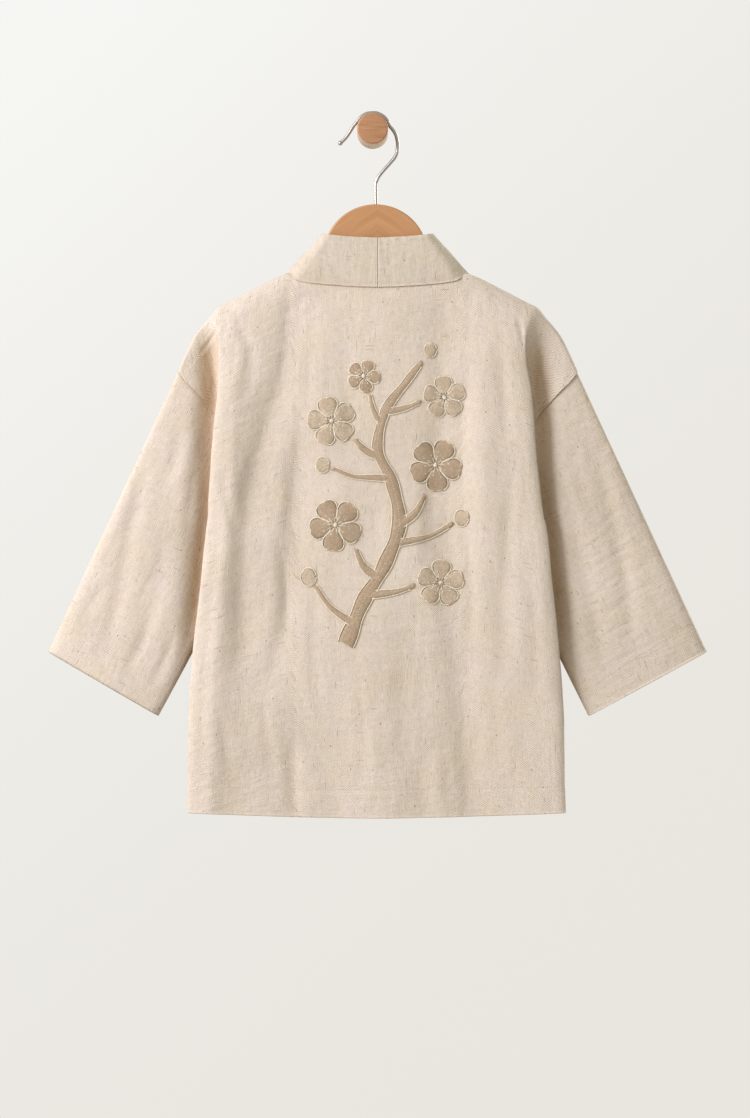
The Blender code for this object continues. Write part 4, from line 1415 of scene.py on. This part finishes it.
def peg_material():
    """Oiled wood: fine level grain on the peg's face, paler round its side."""
    g = material_graph("peg_wood")
    place = g.node("ShaderNodeTexCoord").outputs["Object"]
    depth = g.node("ShaderNodeSeparateXYZ", {"Vector": place}).outputs["Y"]
    bands = g.streaks(place, (26.0, 20.0, 620.0), 3.0, 0.6)
    pores = g.streaks(place, (90.0, 40.0, 2100.0), 2.0, 0.6)
    rays = g.streaks(place, (1300.0, 60.0, 240.0), 2.0, 0.5)
    colour = g.stained(surface(180, 128, 84), (
        (surface(148, 98, 58), bands, 0.48, 0.72, 1.0), (surface(196, 146, 98), bands, 0.46, 0.28, 0.8),
        (surface(124, 80, 50), pores, 0.58, 0.76, 0.6), (surface(150, 100, 66), rays, 0.6, 0.75, 0.35),
        (surface(216, 190, 158), depth, -0.0546, -0.0530, 0.75)))
    return g.finish({"Base Color": colour, "Roughness": 0.5, "Normal": g.bump(pores, 0.2, 0.0002)})


def steel_material():
    g = material_graph("steel")
    place = g.node("ShaderNodeTexCoord").outputs["Object"]
    scratch = g.streaks(place, (240.0, 240.0, 60.0))
    return g.finish({
        "Base Color": linear(158, 152, 144), "Metallic": 1.0,
        "Roughness": g.ramp(scratch, 0.3, 0.7, 0.34, 0.42)})


def floor_material():
    g = material_graph("floor")
    return g.finish({"Base Color": linear(205, 203, 198), "Roughness": 0.9, "Specular IOR Level": 0.2})


def area_light(name, place, size, power, colour):
    """A round soft light that faces the jacket."""
    data = bpy.data.lights.new(name, "AREA")
    data.shape = "DISK"
    data.size = size
    data.energy = power
    data.color = colour
    light = add_object(name, data)
    light.location = place
    light.rotation_euler = (Vector(LIGHT_TARGET) - Vector(place)).to_track_quat("-Z", "Y").to_euler()


def make_stage():
    """A plain floor, a pale world that brightens towards its upper left, and the lights."""
    bpy.ops.mesh.primitive_circle_add(
        vertices=96, radius=FLOOR_RADIUS, fill_type="NGON", location=(0, 0, FLOOR_Z))
    floor = bpy.context.object
    floor.name = "floor"
    floor.data.materials.append(floor_material())
    sky = Graph(bpy.data.worlds.new("pale room"))
    place = sky.node("ShaderNodeTexCoord").outputs["Generated"]
    slope = sky.node("ShaderNodeVectorMath", {0: place, 1: (-0.45, 0.0, 0.5)}, operation="DOT_PRODUCT")
    share = sky.node("ShaderNodeMapRange", {
        "Value": slope.outputs["Value"], "From Min": -0.08, "From Max": 0.09})
    share = sky.math("POWER", share.outputs["Result"], 1.9)
    tone = sky.blend(linear(233, 230, 224), linear(246, 246, 243), share)
    bpy.context.scene.world = sky.finish({"Color": tone}, "Background")
    for light in LIGHTS:
        area_light(*light)


def make_camera():
    data = bpy.data.cameras.new("camera")
    data.lens = LENS
    data.sensor_width = 36.0
    camera = add_object("camera", data)
    camera.location = CAMERA_PLACE
    camera.rotation_euler = (math.pi / 2, 0.0, 0.0)
    bpy.context.scene.camera = camera
    bpy.context.scene.view_settings.view_transform = "Standard"


def main():
    linen = linen_material("linen", surface(224, 209, 190))
    sleeve_linen = linen_material("linen_sleeves", surface(222, 207, 188), 2.7, 0.75)
    collar_linen = linen_material("linen_collar", surface(215, 201, 181), 4.1, 0.7)
    thread = thread_material("sewing_thread", surface(226, 213, 190), 0.1)
    tan = thread_material("tan_thread", surface(190, 164, 130))
    pale = thread_material("pale_tan_thread", surface(210, 189, 157))
    cream = thread_material("cream_thread", surface(238, 226, 199))

    sides = ((-1, "left"), (1, "right"))
    back = make_back(linen)
    fronts = [make_front(side, name, linen) for side, name in sides]
    sleeves = [make_sleeve(side, name, sleeve_linen) for side, name in sides]
    collars = [make_collar(side, name, collar_linen) for side, name in sides]
    cloths = [back] + fronts + sleeves + collars
    stitches = [make_stitches(piece, thread, row=-HEM_ROWS) for piece in [back] + fronts + sleeves]
    stitches += [
        make_stitches(piece, cream, col=2, pitch=1.7, length=1.3, radius=0.34) for piece in collars]
    embroidery = make_embroidery(surface_of(back), tan, pale, cream)
    hanger = make_hanger_body(hanger_material())
    hook, tip = make_hook(steel_material())
    peg = make_peg(peg_material())

    for piece in cloths + stitches + embroidery + [hanger, hook, tip, peg]:
        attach(piece, "root")
    nodes = ["back_panel", "front_left", "front_right", "sleeve_left", "sleeve_right"]
    for piece, node in zip(cloths, nodes + ["collar_left", "collar_right"]):
        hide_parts(node)
    for piece, node in ((hanger, "hanger_body"), (hook, "hanger_hook"), (peg, "wall_peg")):
        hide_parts(node)
    make_stage()
    make_camera()


main()
